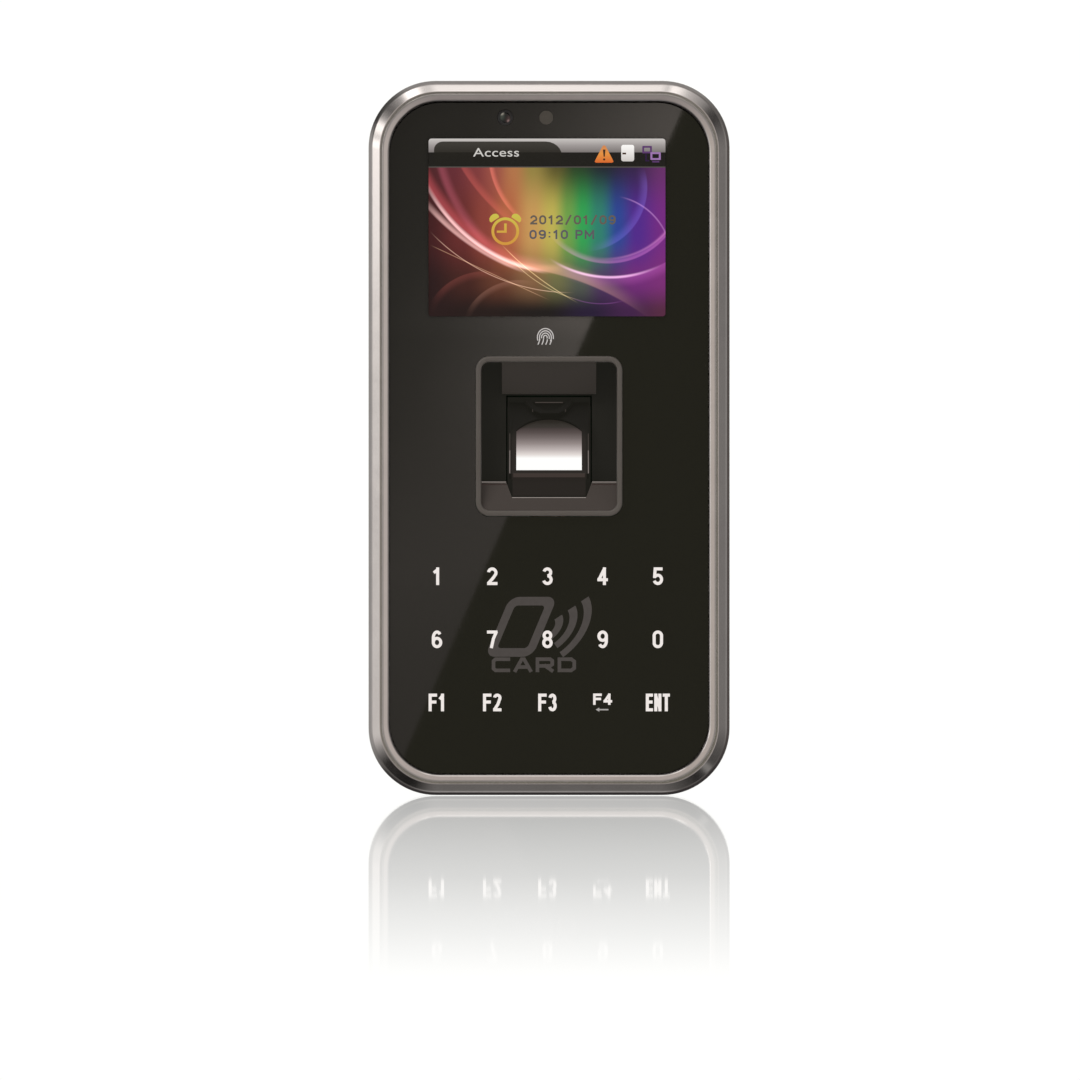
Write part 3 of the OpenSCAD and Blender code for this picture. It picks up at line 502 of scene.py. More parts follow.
M = {
    "silver": surface("silver_lacquer", (0.7, 0.69, 0.675), (0.76, 0.75, 0.735), (0.13, 0.17), metallic=1.0,
                      grain=2600, bump=0.02, height=0.004, coat=0.25),
    "housing": surface("black_housing", (0.02, 0.0193, 0.0185), (0.029, 0.028, 0.0268), (0.42, 0.56), grain=3200,
                       bump=0.35, height=0.03),
    "chassis": surface("chassis_plastic", (0.012, 0.012, 0.011), (0.02, 0.02, 0.019), (0.5, 0.6), grain=2600,
                       bump=0.3, height=0.02),
    "print": surface("black_print", (0.0018, 0.0017, 0.0014), (0.0022, 0.0021, 0.0017), (0.015, 0.02), grain=4000,
                     bump=0.0, specular=1.0),
    "trim": surface("well_trim", (0.094, 0.085, 0.075), (0.1, 0.091, 0.081), (0.32, 0.36), grain=2400, bump=0.02,
                    height=0.002, specular=0.3),
    "foam": surface("black_foam", (0.012, 0.012, 0.012), (0.03, 0.03, 0.03), (0.8, 0.95), grain=1800, bump=0.8,
                    height=0.1, specular=0.2),
    "rubber": surface("cover_rubber", (0.016, 0.0155, 0.015), (0.026, 0.025, 0.024), (0.5, 0.62), grain=2400,
                      bump=0.2, height=0.02, specular=0.35),
    "zinc": surface("zinc_sheet", (0.52, 0.53, 0.55), (0.68, 0.69, 0.7), (0.34, 0.46), metallic=0.6, grain=500,
                    bump=0.15, height=0.02, stretch=(1, 1, 0.12), detail=6.0),
    "steel": surface("bright_steel", (0.55, 0.55, 0.56), (0.7, 0.7, 0.71), (0.22, 0.32), metallic=1.0, grain=1500,
                     bump=0.1, height=0.01),
    "tin": surface("tinned_shell", (0.6, 0.6, 0.61), (0.72, 0.72, 0.73), (0.3, 0.36), metallic=0.75, grain=900,
                   bump=0.0),
    "brass": surface("turned_brass", (0.55, 0.4, 0.16), (0.72, 0.55, 0.26), (0.25, 0.35), metallic=1.0,
                     grain=1500, bump=0.1, height=0.01),
    "copper": surface("copper_track", (0.6, 0.3, 0.16), (0.78, 0.45, 0.27), (0.25, 0.4), metallic=1.0, grain=1800),
    "nylon": surface("white_nylon", (0.7, 0.69, 0.64), (0.82, 0.81, 0.77), (0.45, 0.55), grain=1500, bump=0.1),
    "part": surface("moulded_black", (0.014, 0.014, 0.014), (0.026, 0.026, 0.026), (0.45, 0.6), grain=2600,
                    bump=0.25),
    "terminal": surface("green_nylon", (0.018, 0.16, 0.075), (0.03, 0.23, 0.11), (0.42, 0.55), grain=1800,
                        bump=0.15),
    "relay": surface("relay_case", (0.02, 0.07, 0.26), (0.03, 0.1, 0.36), (0.25, 0.35), grain=1500, bump=0.1),
    "sleeve": surface("capacitor_sleeve", (0.02, 0.03, 0.08), (0.035, 0.05, 0.12), (0.2, 0.3), grain=1500),
    "flat_cable": surface("flat_cable", (0.4, 0.2, 0.05), (0.55, 0.3, 0.09), (0.28, 0.4), grain=1200,
                          stretch=(0.05, 1, 1)),
    "button": surface("button_plastic", (0.03, 0.0295, 0.029), (0.045, 0.044, 0.043), (0.4, 0.5), grain=2600,
                      bump=0.2),
    "lamp": glow("lamp_white", (0.95, 0.92, 0.8), 0.6, (0.8, 0.78, 0.7)),
    "reflector": surface("white_film", (0.82, 0.84, 0.86), (0.9, 0.91, 0.93), (0.4, 0.5), grain=900),
}
for key, name, tone, strength in (
        ("key_white", "key_white", (238, 231, 227), 1.05), ("arrow_grey", "arrow_grey", (170, 166, 163), 1.0),
        ("mark_grey", "mark_grey", (76, 71, 68), 1.0), ("icon_grey", "icon_grey", (205, 200, 198), 1.0),
        # The sensor seat glows: painted light on the sensor's body and board, seen in the gaps of the well.
        ("seat", "sensor_seat_painted_glow", (31, 30, 26), 1.0), ("smoke", "smoked_lamp", (72, 67, 61), 1.0),
        # The edge glints are painted highlights, and ledge_shade is painted shade.
        ("edge", "edge_glint", (150, 141, 136), 1.0), ("edge_dim", "edge_glint_dim", (122, 113, 109), 1.0),
        ("edge_faint", "edge_glint_faint", (70, 63, 59), 1.0), ("ledge_shade", "ledge_shade", (52, 40, 37), 1.0),
        ("dark_icon", "icon_dark", (66, 44, 30), 1.0), ("violet_light", "icon_violet_light", (158, 118, 176), 1.0),
        ("violet", "icon_violet", (92, 58, 108), 1.0), ("violet_dark", "icon_violet_dark", (46, 24, 62), 1.0),
        ("caption", "caption_white", (208, 205, 200), 1.0), ("date", "date_grey", (100, 92, 84), 1.0),
        ("hour", "hour_grey", (92, 90, 96), 1.0)):
    M[key] = glow(name, screen_colour(*tone), strength)


def board_material():
    """Green solder mask with a faint pattern of tracks."""
    material, n, shader = new_material("circuit_board")
    place = n.place()
    upright = n.add("ShaderNodeMapping")
    fix(upright, Rotation=(math.pi / 2, 0, 0))
    n.put(upright.inputs["Vector"], place)
    bricks = n.add("ShaderNodeTexBrick", offset=0.37, squash=0.6, squash_frequency=3)
    n.put(bricks.inputs["Vector"], upright.outputs[0])
    fix(bricks, Scale=100.0, Mortar_Size=0.018, Mortar_Smooth=0.2, Brick_Width=0.9, Row_Height=0.19)
    cells = n.add("ShaderNodeTexVoronoi", feature="F1")
    fix(cells, Scale=190)
    n.put(cells.inputs["Vector"], place)
    hole = n.smooth(cells.outputs["Distance"], 0.09, 0.12)
    track = n.times(n.math("SUBTRACT", 1.0, bricks.outputs["Fac"]), hole)
    tone = n.mix(n.noise(place, 120.0), (0.008, 0.085, 0.03), (0.012, 0.12, 0.045))
    tone = n.mix(track, (0.02, 0.15, 0.06), tone)
    n.put(shader.inputs["Base Color"], n.mix(hole, (0.45, 0.36, 0.17), tone))
    n.put(shader.inputs["Roughness"], n.smooth(track, 0, 1, 0.25, 0.36))
    n.relief(shader, n.math("SUBTRACT", 1.0, track), 0.3, 0.03 * MM)
    return material


def window_material():
    """Clear sheet. Its mirroring seen straight on lies on the black print, and here is what it adds at an angle."""
    material, n, shader = new_material("window_sheet")
    haze = n.noise(n.place(), 60.0, 2.0)
    facing = n.add("ShaderNodeLayerWeight").outputs["Facing"]
    n.put(shader.inputs["Base Color"], n.mix(haze, (0.94, 0.95, 0.95), (1, 1, 1)))
    n.rough(shader, haze, 0.01, 0.02)
    n.put(shader.inputs["Alpha"], n.times(n.math("POWER", facing, 5.0), 0.96))
    fix(shader, Metallic=1.0)
    return material


def lens_material():
    """Dark coated lens."""
    material, n, shader = new_material("coated_lens")
    layer = n.add("ShaderNodeLayerWeight")
    fix(layer, Blend=0.35)
    n.put(shader.inputs["Base Color"], n.ramp(layer.outputs["Facing"],
                                              [(0.0, (0.012, 0.006, 0.004)), (0.4, (0.02, 0.012, 0.03)),
                                               (1.0, (0.01, 0.02, 0.015))]))
    n.rough(shader, n.noise(n.place(), 900.0), 0.03, 0.06)
    fix(shader, Coat_Weight=1.0, Coat_Roughness=0.02, Coat_IOR=1.7)
    return material


def by_height(n, stops):
    """Colour that changes with height, from (z in millimetres, screen values)."""
    low, high = stops[0][0], stops[-1][0]
    share = n.math("DIVIDE", n.math("SUBTRACT", n.place_mm()[2], low), high - low, clamp=True)
    return n.ramp(share, [((z - low) / (high - low), screen_colour(*c)) for z, c in stops])


def platen_material():
    """Milky glass, lit from below: white at the lower edge, fading to dark at the arch."""
    material, n, shader = new_material("platen_glow")
    stops = [(-8.6, (214, 210, 206)), (-8.2, (255, 255, 253)), (-4.9, (255, 255, 253)), (-4.0, (226, 218, 214)),
             (-2.8, (188, 178, 176)), (-1.3, (146, 135, 133)), (0.1, (112, 102, 100)), (1.4, (84, 74, 72)),
             (2.4, (66, 57, 55)), (2.7, (54, 49, 45)), (3.6, (46, 42, 37)), (4.8, (38, 35, 30))]
    n.put(shader.inputs["Emission Color"], by_height(n, stops))
    fix(shader, Emission_Strength=1.0, Base_Color=(0.005, 0.005, 0.005, 1), Specular_IOR_Level=0.06)
    n.rough(shader, n.noise(n.place(), 1500.0), 0.12, 0.2)
    return material


def well_material():
    """Black plastic with a painted glow all over, and painted light on the hood and the ledge, which are also lighter
    in base colour.
    """
    material, n, shader = new_material("well_plastic")
    x, depth, z = n.place_mm()
    x = n.math("ABSOLUTE", x)
    hood_painted_light = n.times(n.smooth(z, 10.6, 10.7), n.smooth(x, 11.45, 11.55, 1.0, 0.0), n.smooth(depth, 33.5, 34.0))
    ledge_painted_light = n.times(n.smooth(z, -10.7, -10.6, 1.0, 0.0), n.smooth(depth, 37.2, 37.6))
    fine = n.noise(n.place(), 3000.0)
    tone = n.mix(fine, (0.0085, 0.0082, 0.0068), (0.011, 0.0106, 0.0092))
    # Lighter base colour on the hood and the ledge: painted light.
    tone = n.mix(hood_painted_light, tone, (0.02, 0.018, 0.016))
    tone = n.mix(ledge_painted_light, tone, (0.04, 0.034, 0.03))
    n.put(shader.inputs["Base Color"], tone)
    n.rough(shader, fine, 0.3, 0.38)
    # Painted glow over the whole well, stronger on the hood and on the ledge: painted light.
    n.put(shader.inputs["Emission Color"], n.mix(hood_painted_light, n.mix(ledge_painted_light, (0.0095, 0.0092, 0.0072), (0.013, 0.0105, 0.009)),
                                                 (0.022, 0.0185, 0.0155)))
    fix(shader, Emission_Strength=1.0, Specular_IOR_Level=0.15)
    return material


def cover_material():
    """Smooth black plastic with a painted glow, stronger beside the platen and strongest on the square front, where
    the platen's light is painted.
    """
    material, n, shader = new_material("sensor_plastic")
    x, _, z = n.place_mm()
    x = n.math("ABSOLUTE", x)
    frame_painted_light = n.times(n.smooth(x, 9.0, 9.3, 1.0, 0.0), n.smooth(z, -1.0, 3.0, 1.0, 0.0))
    sill_painted_light = n.times(n.smooth(x, 8.6, 8.9, 1.0, 0.0), n.smooth(z, -9.6, -9.5), n.smooth(z, -8.7, -8.5, 1.0, 0.0))
    fine = n.noise(n.place(), 2800.0)
    n.put(shader.inputs["Base Color"], n.mix(fine, (0.0022, 0.002, 0.0018), (0.003, 0.0028, 0.0024)))
    # Painted light: a faint glow all over, warmer and brighter beside the platen and on the square front below it.
    light = n.mix(frame_painted_light, (0.0095, 0.009, 0.007), (0.0205, 0.0172, 0.0145))
    n.put(shader.inputs["Emission Color"], n.mix(sill_painted_light, light, (0.05, 0.038, 0.033)))
    n.rough(shader, fine, 0.3, 0.36)
    fix(shader, Emission_Strength=1.0, Specular_IOR_Level=0.08)
    return material


M.update(well=well_material(), cover=cover_material(), board=board_material(), window=window_material(),
         lens=lens_material(), platen=platen_material())


def picture_material():
    """The lit screen: a soft spectrum from red to violet with sweeping veils of light."""
    material, n, shader = new_material("screen_picture")
    x, _, z = n.place_mm()
    w, h, mid = SCREEN
    # u and v run from 0 to 1 across the picture, and s is u at the picture's true proportions
    u = n.math("DIVIDE", n.math("SUBTRACT", x, FRONT_X - w / 2), w)
    v = n.math("DIVIDE", n.math("SUBTRACT", z, mid - h / 2), h)
    s = n.times(u, w / h)

    def colours(at, stops):
        return n.ramp(at, [(p, screen_colour(*c)) for p, c in stops], "EASE")

    top = colours(u, [(0.0, (74, 34, 36)), (0.1, (96, 42, 48)), (0.2, (122, 56, 56)), (0.28, (150, 78, 66)),
                      (0.36, (170, 112, 70)), (0.44, (140, 124, 62)), (0.54, (84, 78, 38)), (0.62, (40, 62, 34)),
                      (0.74, (32, 36, 44)), (0.86, (50, 34, 68)), (1.0, (98, 46, 98))])
    middle = colours(u, [(0.0, (62, 28, 28)), (0.14, (98, 42, 40)), (0.24, (132, 62, 52)), (0.34, (172, 96, 64)),
                         (0.44, (190, 146, 84)), (0.52, (182, 168, 80)), (0.59, (104, 152, 70)),
                         (0.65, (48, 154, 78)), (0.72, (46, 122, 104)), (0.8, (44, 66, 140)), (0.88, (78, 40, 132)),
                         (1.0, (112, 40, 122))])
    low = colours(u, [(0.0, (40, 24, 23)), (0.16, (64, 34, 28)), (0.3, (96, 56, 40)), (0.44, (124, 90, 62)),
                      (0.54, (104, 102, 66)), (0.64, (78, 84, 74)), (0.74, (76, 50, 90)), (0.88, (110, 42, 114)),
                      (1.0, (118, 44, 112))])
    bottom = colours(u, [(0.0, (38, 24, 22)), (0.25, (36, 26, 22)), (0.5, (30, 26, 23)), (0.68, (38, 28, 50)),
                         (0.85, (62, 32, 68)), (1.0, (82, 40, 62))])
    picture = n.mix(n.smooth(v, 0.02, 0.2), bottom, low)
    picture = n.mix(n.smooth(v, 0.18, 0.46), picture, middle)
    picture = n.mix(n.smooth(v, 0.56, 0.86), picture, top)

    def veil(picture, curve, inner, outer, colour, strength, fade):
        """Adds light along the arc through three places (u, v), softer on one side, between the u of fade."""
        (x0, y0), (x1, y1), (x2, y2) = [(a * w / h, b) for a, b in curve]
        k = 2 * (x0 * (y1 - y2) + x1 * (y2 - y0) + x2 * (y0 - y1))
        q0, q1, q2 = x0 * x0 + y0 * y0, x1 * x1 + y1 * y1, x2 * x2 + y2 * y2
        cx = (q0 * (y1 - y2) + q1 * (y2 - y0) + q2 * (y0 - y1)) / k
        cy = (q0 * (x2 - x1) + q1 * (x0 - x2) + q2 * (x1 - x0)) / k
        dx, dy = n.math("SUBTRACT", s, cx), n.math("SUBTRACT", v, cy)
        d = n.math("SUBTRACT", n.length(dx, dy), math.hypot(x0 - cx, y0 - cy))
        # Keep to the side of the circle on which the places lie
        half = n.smooth(n.times(dy, math.copysign(1.0, y1 - cy)), -0.12, 0.0)
        share = n.times(n.smooth(d, -inner, 0.0), n.smooth(d, 0.0, outer, 1.0, 0.0), half,
                        n.smooth(u, fade[0], fade[1]), n.smooth(u, fade[2], fade[3], 1.0, 0.0), strength)
        return n.mix(share, picture, screen_colour(*colour), "ADD")

    veils = (
        # Long sweep from the upper left to the middle, in several strands
        (((0, 0.74), (0.19, 0.45), (0.43, 0.28)), 0.06, 0.016, (150, 60, 66), 0.8, (-0.1, 0.0, 0.3, 0.6)),
        (((0, 0.71), (0.19, 0.42), (0.43, 0.265)), 0.022, 0.012, (250, 196, 196), 0.95, (-0.05, 0.1, 0.36, 0.52)),
        (((0, 0.61), (0.15, 0.43), (0.34, 0.285)), 0.034, 0.014, (214, 170, 166), 0.75, (-0.05, 0.06, 0.3, 0.44)),
        (((0.05, 0.84), (0.12, 0.62), (0.23, 0.43)), 0.045, 0.03, (130, 62, 76), 0.6, (-0.05, 0.02, 0.16, 0.3)),
        (((0.26, 0.84), (0.295, 0.7), (0.36, 0.58)), 0.03, 0.008, (190, 96, 84), 0.6, (0.2, 0.25, 0.3, 0.42)),
        (((0.14, 0.84), (0.215, 0.7), (0.33, 0.55)), 0.05, 0.01, (150, 66, 60), 0.5, (0.1, 0.15, 0.26, 0.4)),
        # Fine lines under it
        (((0, 0.485), (0.156, 0.31), (0.46, 0.15)), 0.004, 0.004, (226, 184, 160), 0.6, (0.0, 0.08, 0.5, 0.62)),
        (((0, 0.405), (0.207, 0.277), (0.43, 0.14)), 0.003, 0.004, (206, 164, 130), 0.5, (0.0, 0.06, 0.42, 0.52)),
        (((0.325, 0.38), (0.384, 0.305), (0.578, 0.115)), 0.004, 0.004, (236, 206, 150), 0.6, (0.3, 0.36, 0.54, 0.64)),
        (((0.36, 0.305), (0.443, 0.209), (0.6, 0.105)), 0.003, 0.004, (226, 200, 150), 0.5, (0.33, 0.4, 0.54, 0.66)),
        # Glow where the sweeps meet
        (((0.34, 0.285), (0.56, 0.235), (0.87, 0.05)), 0.01, 0.085, (150, 108, 100), 0.7, (0.3, 0.44, 0.66, 0.95)),
        (((0.3, 0.33), (0.4, 0.285), (0.56, 0.275)), 0.03, 0.04, (160, 110, 84), 0.6, (0.26, 0.36, 0.46, 0.62)),
        # Sweeps that come in from the right
        (((0.527, 0.31), (0.73, 0.222), (1.0, 0.3)), 0.012, 0.012, (240, 190, 226), 0.8, (0.5, 0.66, 0.8, 1.0)),
        (((0.5, 0.335), (0.73, 0.222), (1.0, 0.3)), 0.006, 0.07, (120, 58, 112), 0.65, (0.5, 0.62, 1.0, 1.1)),
        (((0.527, 0.435), (0.75, 0.302), (0.99, 0.435)), 0.034, 0.008, (140, 80, 130), 0.75, (0.5, 0.62, 1.0, 1.1)),
        (((0.527, 0.435), (0.72, 0.325), (0.99, 0.455)), 0.012, 0.008, (150, 100, 130), 0.5, (0.7, 0.86, 1.0, 1.1)),
        (((0.82, 0.67), (0.916, 0.61), (1.0, 0.475)), 0.008, 0.006, (176, 130, 176), 0.55, (0.8, 0.88, 0.93, 1.1)),
        (((0.92, 0.76), (0.88, 0.537), (0.705, 0.375)), 0.055, 0.008, (74, 66, 132), 0.6, (0.66, 0.8, 1.0, 1.1)),
        (((0.595, 0.107), (0.705, 0.071), (0.8, 0.079)), 0.006, 0.004, (110, 60, 120), 0.6, (0.58, 0.66, 0.76, 0.84)),
        # Faint sweeps in the lower left corner
        (((0.038, 0.13), (0.13, 0.22), (0.25, 0.25)), 0.05, 0.006, (96, 46, 42), 0.5, (0.0, 0.08, 0.2, 0.34)),
        (((0.173, 0.05), (0.24, 0.141), (0.4, 0.2)), 0.04, 0.006, (104, 74, 64), 0.5, (0.15, 0.22, 0.36, 0.46)),
    )
    for curve, *values in veils:
        picture = veil(picture, curve, *values)
    n.put(shader.inputs["Emission Color"], picture)
    fix(shader, Emission_Strength=1.08, Base_Color=(0.004, 0.004, 0.005, 1), Specular_IOR_Level=0.05)
    n.rough(shader, n.noise(n.place(), 2500.0), 0.3, 0.4)
    return material


M["picture"] = picture_material()


# ---------------------------------------------------------------- carried-over CAD nodes

CAD_LOOKS = {
    "zinc": "wall_plate", "nylon": "lock_washer tamper_plunger",
    "steel": "lock_screw case_screws bracket_screws board_screws clock_battery terminal_screws tamper_spring",
    "brass": "lock_insert", "housing": "rear_housing",
    "foam": "housing_gasket window_tape antenna_pads platen_seal speaker_gasket", "chassis": "front_chassis",
    "tin": "screen_frame screen_bracket radio_shield lan_jack usb_socket",
    "reflector": "screen_backlight key_diffuser", "flat_cable": "screen_flex sensor_cable",
    "board": "camera_board touch_board antenna_board main_board",
    "part": "camera_body sensor_chip processor memory_chips tamper_switch speaker reset_switch",
    "lens": "camera_lens sensor_lens", "smoke": "infrared_lamp", "lamp": "key_lamps platen_lamps",
    "copper": "antenna_coil", "well": "finger_well", "cover": "sensor_cover",
    "seat": "sensor_body sensor_board", "sleeve": "power_parts", "relay": "relay", "terminal": "terminal_block",
    "rubber": "usb_cover", "button": "reset_button", "silver": "front_bezel", "print": "window_print",
    "window": "front_window", "picture": "screen_panel", "trim": "well_trim", "platen": "platen_prism",
}
for look, names in CAD_LOOKS.items():
    for name in names.split():
        obj = nodes[name]
        if obj.material_slots:
            for material_slot in obj.material_slots:
                material_slot.material = M[look]
        else:
            obj.data.materials.append(M[look])
for name, width in (("rear_housing", 0.5), ("wall_plate", 0.18), ("finger_well", 0.15), ("sensor_cover", 0.12),
                    ("lan_jack", 0.15), ("terminal_block", 0.2), ("relay", 0.4), ("usb_cover", 0.25),
                    ("reset_button", 0.2), ("lock_screw", 0.2), ("radio_shield", 0.3)):
    edge = nodes[name].modifiers.new("rounded_edges", "BEVEL")
    edge.width = width * MM
    edge.segments = 3
    edge.limit_method = "ANGLE"
    edge.angle_limit = math.radians(40)


def piece(obj, slot_name, *replaced, body="terminal"):
    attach(obj, body)
    if replaced:
        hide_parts(*replaced)
    return obj


# ---------------------------------------------------------------- silver frame


def bezel():
    """Crowned outer band, fine groove, inner band that falls to the window, and the walls behind."""
    w, h = 2 * case_x, 2 * case_z
    inner = MARGIN
    profile = [(0.3, back_depth), (0.06, back_depth + 0.1), (0.0, back_depth + 0.35), (0.0, 35.0), (0.0, 40.2),
               (0.03, 40.85), (0.13, 41.32), (0.31, 41.72), (0.55, 42.03), (0.8, 42.25), (1.02, 42.39),
               (1.3, 42.54), (1.8, 42.8), (2.3, 43.06), (2.7, 43.27), (2.9, 43.36), (2.97, 43.34),
               (3.02, 43.2), (3.05, 43.02), (3.08, 42.97), (3.25, 42.97), (3.3, 43.05), (3.33, 43.22),
               (3.38, 43.33), (3.48, 43.38), (3.62, 43.37), (4.0, 43.27), (4.5, 43.12), (4.82, 43.01),
               (4.95, 42.93), (5.03, 42.8), (5.1, 42.5), (inner, glass_face + 0.02), (inner, glass_face),
               (inner - 1.6, glass_face), (inner - 1.6, glass_back), (2.0, glass_back), (2.0, back_depth)]
    rings = []
    for t, depth in profile:
        r = CASE_R - t * (CASE_R - WINDOW_R) / inner
        rings.append([point(x, depth, z) for x, z in rounded(w - 2 * t, h - 2 * t, r, steps=20)])
    return loft("silver_frame", rings, M["silver"], sharp=50)


piece(bezel(), "silver_frame", "front_bezel")

# ---------------------------------------------------------------- window and its printing


def window():
    w, h, r = 2 * glass_x, 2 * glass_z, WINDOW_R + 1.4
    hole_w, hole_h = WELL[0] + 2 * TRIM + 0.2, WELL[1] + 2 * TRIM + 0.2
    edge = 0.12
    steps = [(0, glass_back), (0, glass_face - edge), (edge * 0.3, glass_face - edge * 0.3), (edge, glass_face),
             (0.5, glass_face)]
    rings = [[point(x, depth, z) for x, z in rounded(w - 2 * t, h - 2 * t, r - t)] for t, depth in steps]
    rings += [[point(x, depth, z) for x, z in rounded(hole_w + 2 * t, hole_h + 2 * t, TRIM_R + 0.1 + t, cz=WELL_Z)]
              for t, depth in reversed(steps)]
    return loft("window_sheet", rings, M["window"], sharp=40)


piece(window(), "window_glass", "front_window")

print_front = glass_back - 0.08
print_back = glass_back - 0.15
screen_hole = rounded(SCREEN[0] + 0.1, SCREEN[1] + 0.1, 0.7, FRONT_X, SCREEN[2], 6)
well_hole = rounded(WELL[0] + 2 * TRIM + 0.2, WELL[1] + 2 * TRIM + 0.2, TRIM_R + 0.1, 0, WELL_Z)
print_outline = rounded(79.4, 165.4, WINDOW_R + 1)
piece(plate("printed_layer", [print_outline, screen_hole, well_hole,
                              circle(*CAMERA_AT, 1.95), circle(*LAMP_AT, 1.7)],
            print_back, print_front, M["print"]), "black_print", "window_print")

# ---------------------------------------------------------------- screen

panel_front = panel_high[1]
panel_w, panel_h = panel_high[0] - panel_low[0], panel_high[2] - panel_low[2]
panel_x = (panel_high[0] + panel_low[0]) / 2
piece(plate("screen_glass", [rounded(panel_w, panel_h, 0.4, panel_x, SCREEN[2], 4)], panel_low[1], panel_front,
            M["picture"], 0.1), "screen_picture", "screen_panel")

screen_left = FRONT_X - SCREEN[0] / 2
screen_top = SCREEN[2] + SCREEN[1] / 2


def screen_xz(u, v):
    """A place on the screen from pixels of a 320 by 240 picture, counted from its upper left corner."""
    return screen_left + u * SCREEN[0] / 320, screen_top - v * SCREEN[1] / 240


def screen_loop(points):
    return [screen_xz(u, v) for u, v in points]


def lit(name, loops, level, material):
    """A thin lit shape on the screen. A higher level lies nearer the viewer."""
    depth = panel_front + 0.02 + 0.03 * level
    return piece(plate(name, loops, depth, depth + 0.02, material), "screen_picture")


def rows_glow(name, *stops):
    """A lit surface whose colour changes from row to row of the picture."""
    material, n, shader = new_material(name)
    n.put(shader.inputs["Emission Color"], by_height(n, [(screen_xz(0, row)[1], tone) for row, tone in stops]))
    fix(shader, Emission_Strength=1.0, Base_Color=(0.004, 0.004, 0.004, 1), Specular_IOR_Level=0.05)
    return material


M["bar"] = rows_glow("status_bar", (38.8, (74, 70, 66)), (37.8, (92, 87, 83)), (37.2, (30, 28, 24)),
                     (18.4, (30, 28, 25)), (18.0, (122, 116, 114)), (9, (158, 152, 150)), (2, (190, 185, 182)),
                     (0, (202, 198, 194)))
M["tab"] = rows_glow("status_tab", (37, (30, 28, 24)), (18.4, (32, 30, 25)), (18, (46, 43, 38)), (2, (64, 61, 56)))
M["warning"] = rows_glow("warning_orange", (32, (214, 104, 46)), (20, (228, 146, 66)), (8, (206, 132, 84)))
M["paper"] = rows_glow("icon_paper", (34, (196, 190, 186)), (9, (250, 248, 245)))
M["clock"] = rows_glow("clock_yellow", (144, (208, 148, 62)), (124, (208, 166, 68)), (100, (200, 194, 78)))
lit("status_bar", [screen_loop([(-1, -1), (321, -1), (321, 38.8), (-1, 38.8)])], 0, M["bar"])


def rounded_pixels(x0, y0, x1, y1, r, steps=8):
    w, h = (x1 - x0) * SCREEN[0] / 320, (y1 - y0) * SCREEN[1] / 240
    cx, cz = screen_xz((x0 + x1) / 2, (y0 + y1) / 2)
    return rounded(w, h, r * SCREEN[0] / 320, cx, cz, steps)


def tab_outline():
    """Tab with round upper corners and a flared right-hand foot."""
    turns = [math.radians(a) for a in range(15, 91, 15)]
    points = [(7, 37), (7, 14.5)] + [(19 - 12 * math.cos(a), 14.5 - 11 * math.sin(a)) for a in turns]
    points += [(158, 3.5)] + [(158 + 22 * math.sin(a), 22.5 - 19 * math.cos(a)) for a in turns]
    return screen_loop(points + [(180, 37)])


lit("status_tab", [tab_outline()], 1, M["tab"])

# Warning triangle with its mark, card with a slot, two linked machines
dot = circle(*screen_xz(237.4, 27.8), 0.27, 16)
machine = [rounded_pixels(289, 9.5, 302, 19.5, 1), rounded_pixels(291.5, 12, 299.5, 17, 0.5)]
other_machine = [rounded_pixels(300, 18, 314, 28.5, 1), rounded_pixels(302.6, 20.5, 311.4, 26, 0.5)]
for name, loops, level, look in (
        ("icon_warning", [screen_loop([(224.5, 31), (226, 27.5), (235.2, 9.8), (237.3, 8.4), (239.4, 9.8),
                                       (248.6, 27.5), (250, 31), (248, 32.2), (226.5, 32.2)])], 1, "warning"),
        ("icon_warning_mark", [screen_loop([(235.6, 14.4), (239.2, 14.4), (238.2, 24.2), (236.6, 24.2)])], 2,
         "dark_icon"),
        ("icon_warning_dot", [dot], 2, "dark_icon"),
        ("icon_card", [rounded_pixels(260.5, 8, 278, 30.4, 3)], 1, "paper"),
        ("icon_card_slot", [screen_loop([(262, 18.6), (267, 18.6), (267, 21), (262, 21)])], 2, "dark_icon"),
        ("icon_machine_upper", machine, 1, "violet"),
        ("icon_machine_lower", other_machine, 2, "violet_light"),
        ("icon_machine_feet", [screen_loop([(302.5, 29.9), (312, 29.9), (312, 31.9), (302.5, 31.9)])], 1, "violet"),
        ("icon_machine_link", [screen_loop([(293, 20.5), (295, 20.5), (295, 28.5), (298.5, 28.5), (298.5, 30.5),
                                            (293, 30.5)])], 1, "violet_dark")):
    lit(name, loops, level, M[look])

# Alarm clock
clock_c = (103.5, 125.0)
lit("clock_rim", [screen_loop(circle(*clock_c, radius, 48)) for radius in (18.8, 15.0)], 1, M["clock"])
hands = [(102, 114.5), (105.4, 114.5), (105.4, 127.1), (92, 127.1), (92, 124.1), (102, 124.1)]
lit("clock_hands", [screen_loop(hands)], 1, M["clock"])
BELL = [(8.2, -19.0), (9.4, -22.0), (12.2, -23.8), (16.2, -23.4), (19.6, -20.8), (21.6, -17.2), (21.2, -13.6),
        (19.2, -11.8)]
for side in (-1, 1):
    bell = [(clock_c[0] + side * x, clock_c[1] + y) for x, y in BELL]
    lit(f"clock_bell_{'left' if side < 0 else 'right'}", [screen_loop(bell)], 1, M["clock"])

text_depth = panel_front + 0.09
piece(lettering("screen_title", "Access", *screen_xz(91.0, 18.2), 2.1, 11.2, text_depth + 0.03, 0.02, M["caption"],
                0.004), "screen_picture")
piece(stroked("screen_date", "2012/01/09", *screen_xz(195, 109.6), 2.25, 1.74, 0.46, 0.44, text_depth, M["date"]),
      "screen_picture")
piece(stroked("screen_hour", "09:10 PM", *screen_xz(180, 129.4), 2.25, 1.78, 0.46, 0.44, text_depth, M["hour"]),
      "screen_picture")

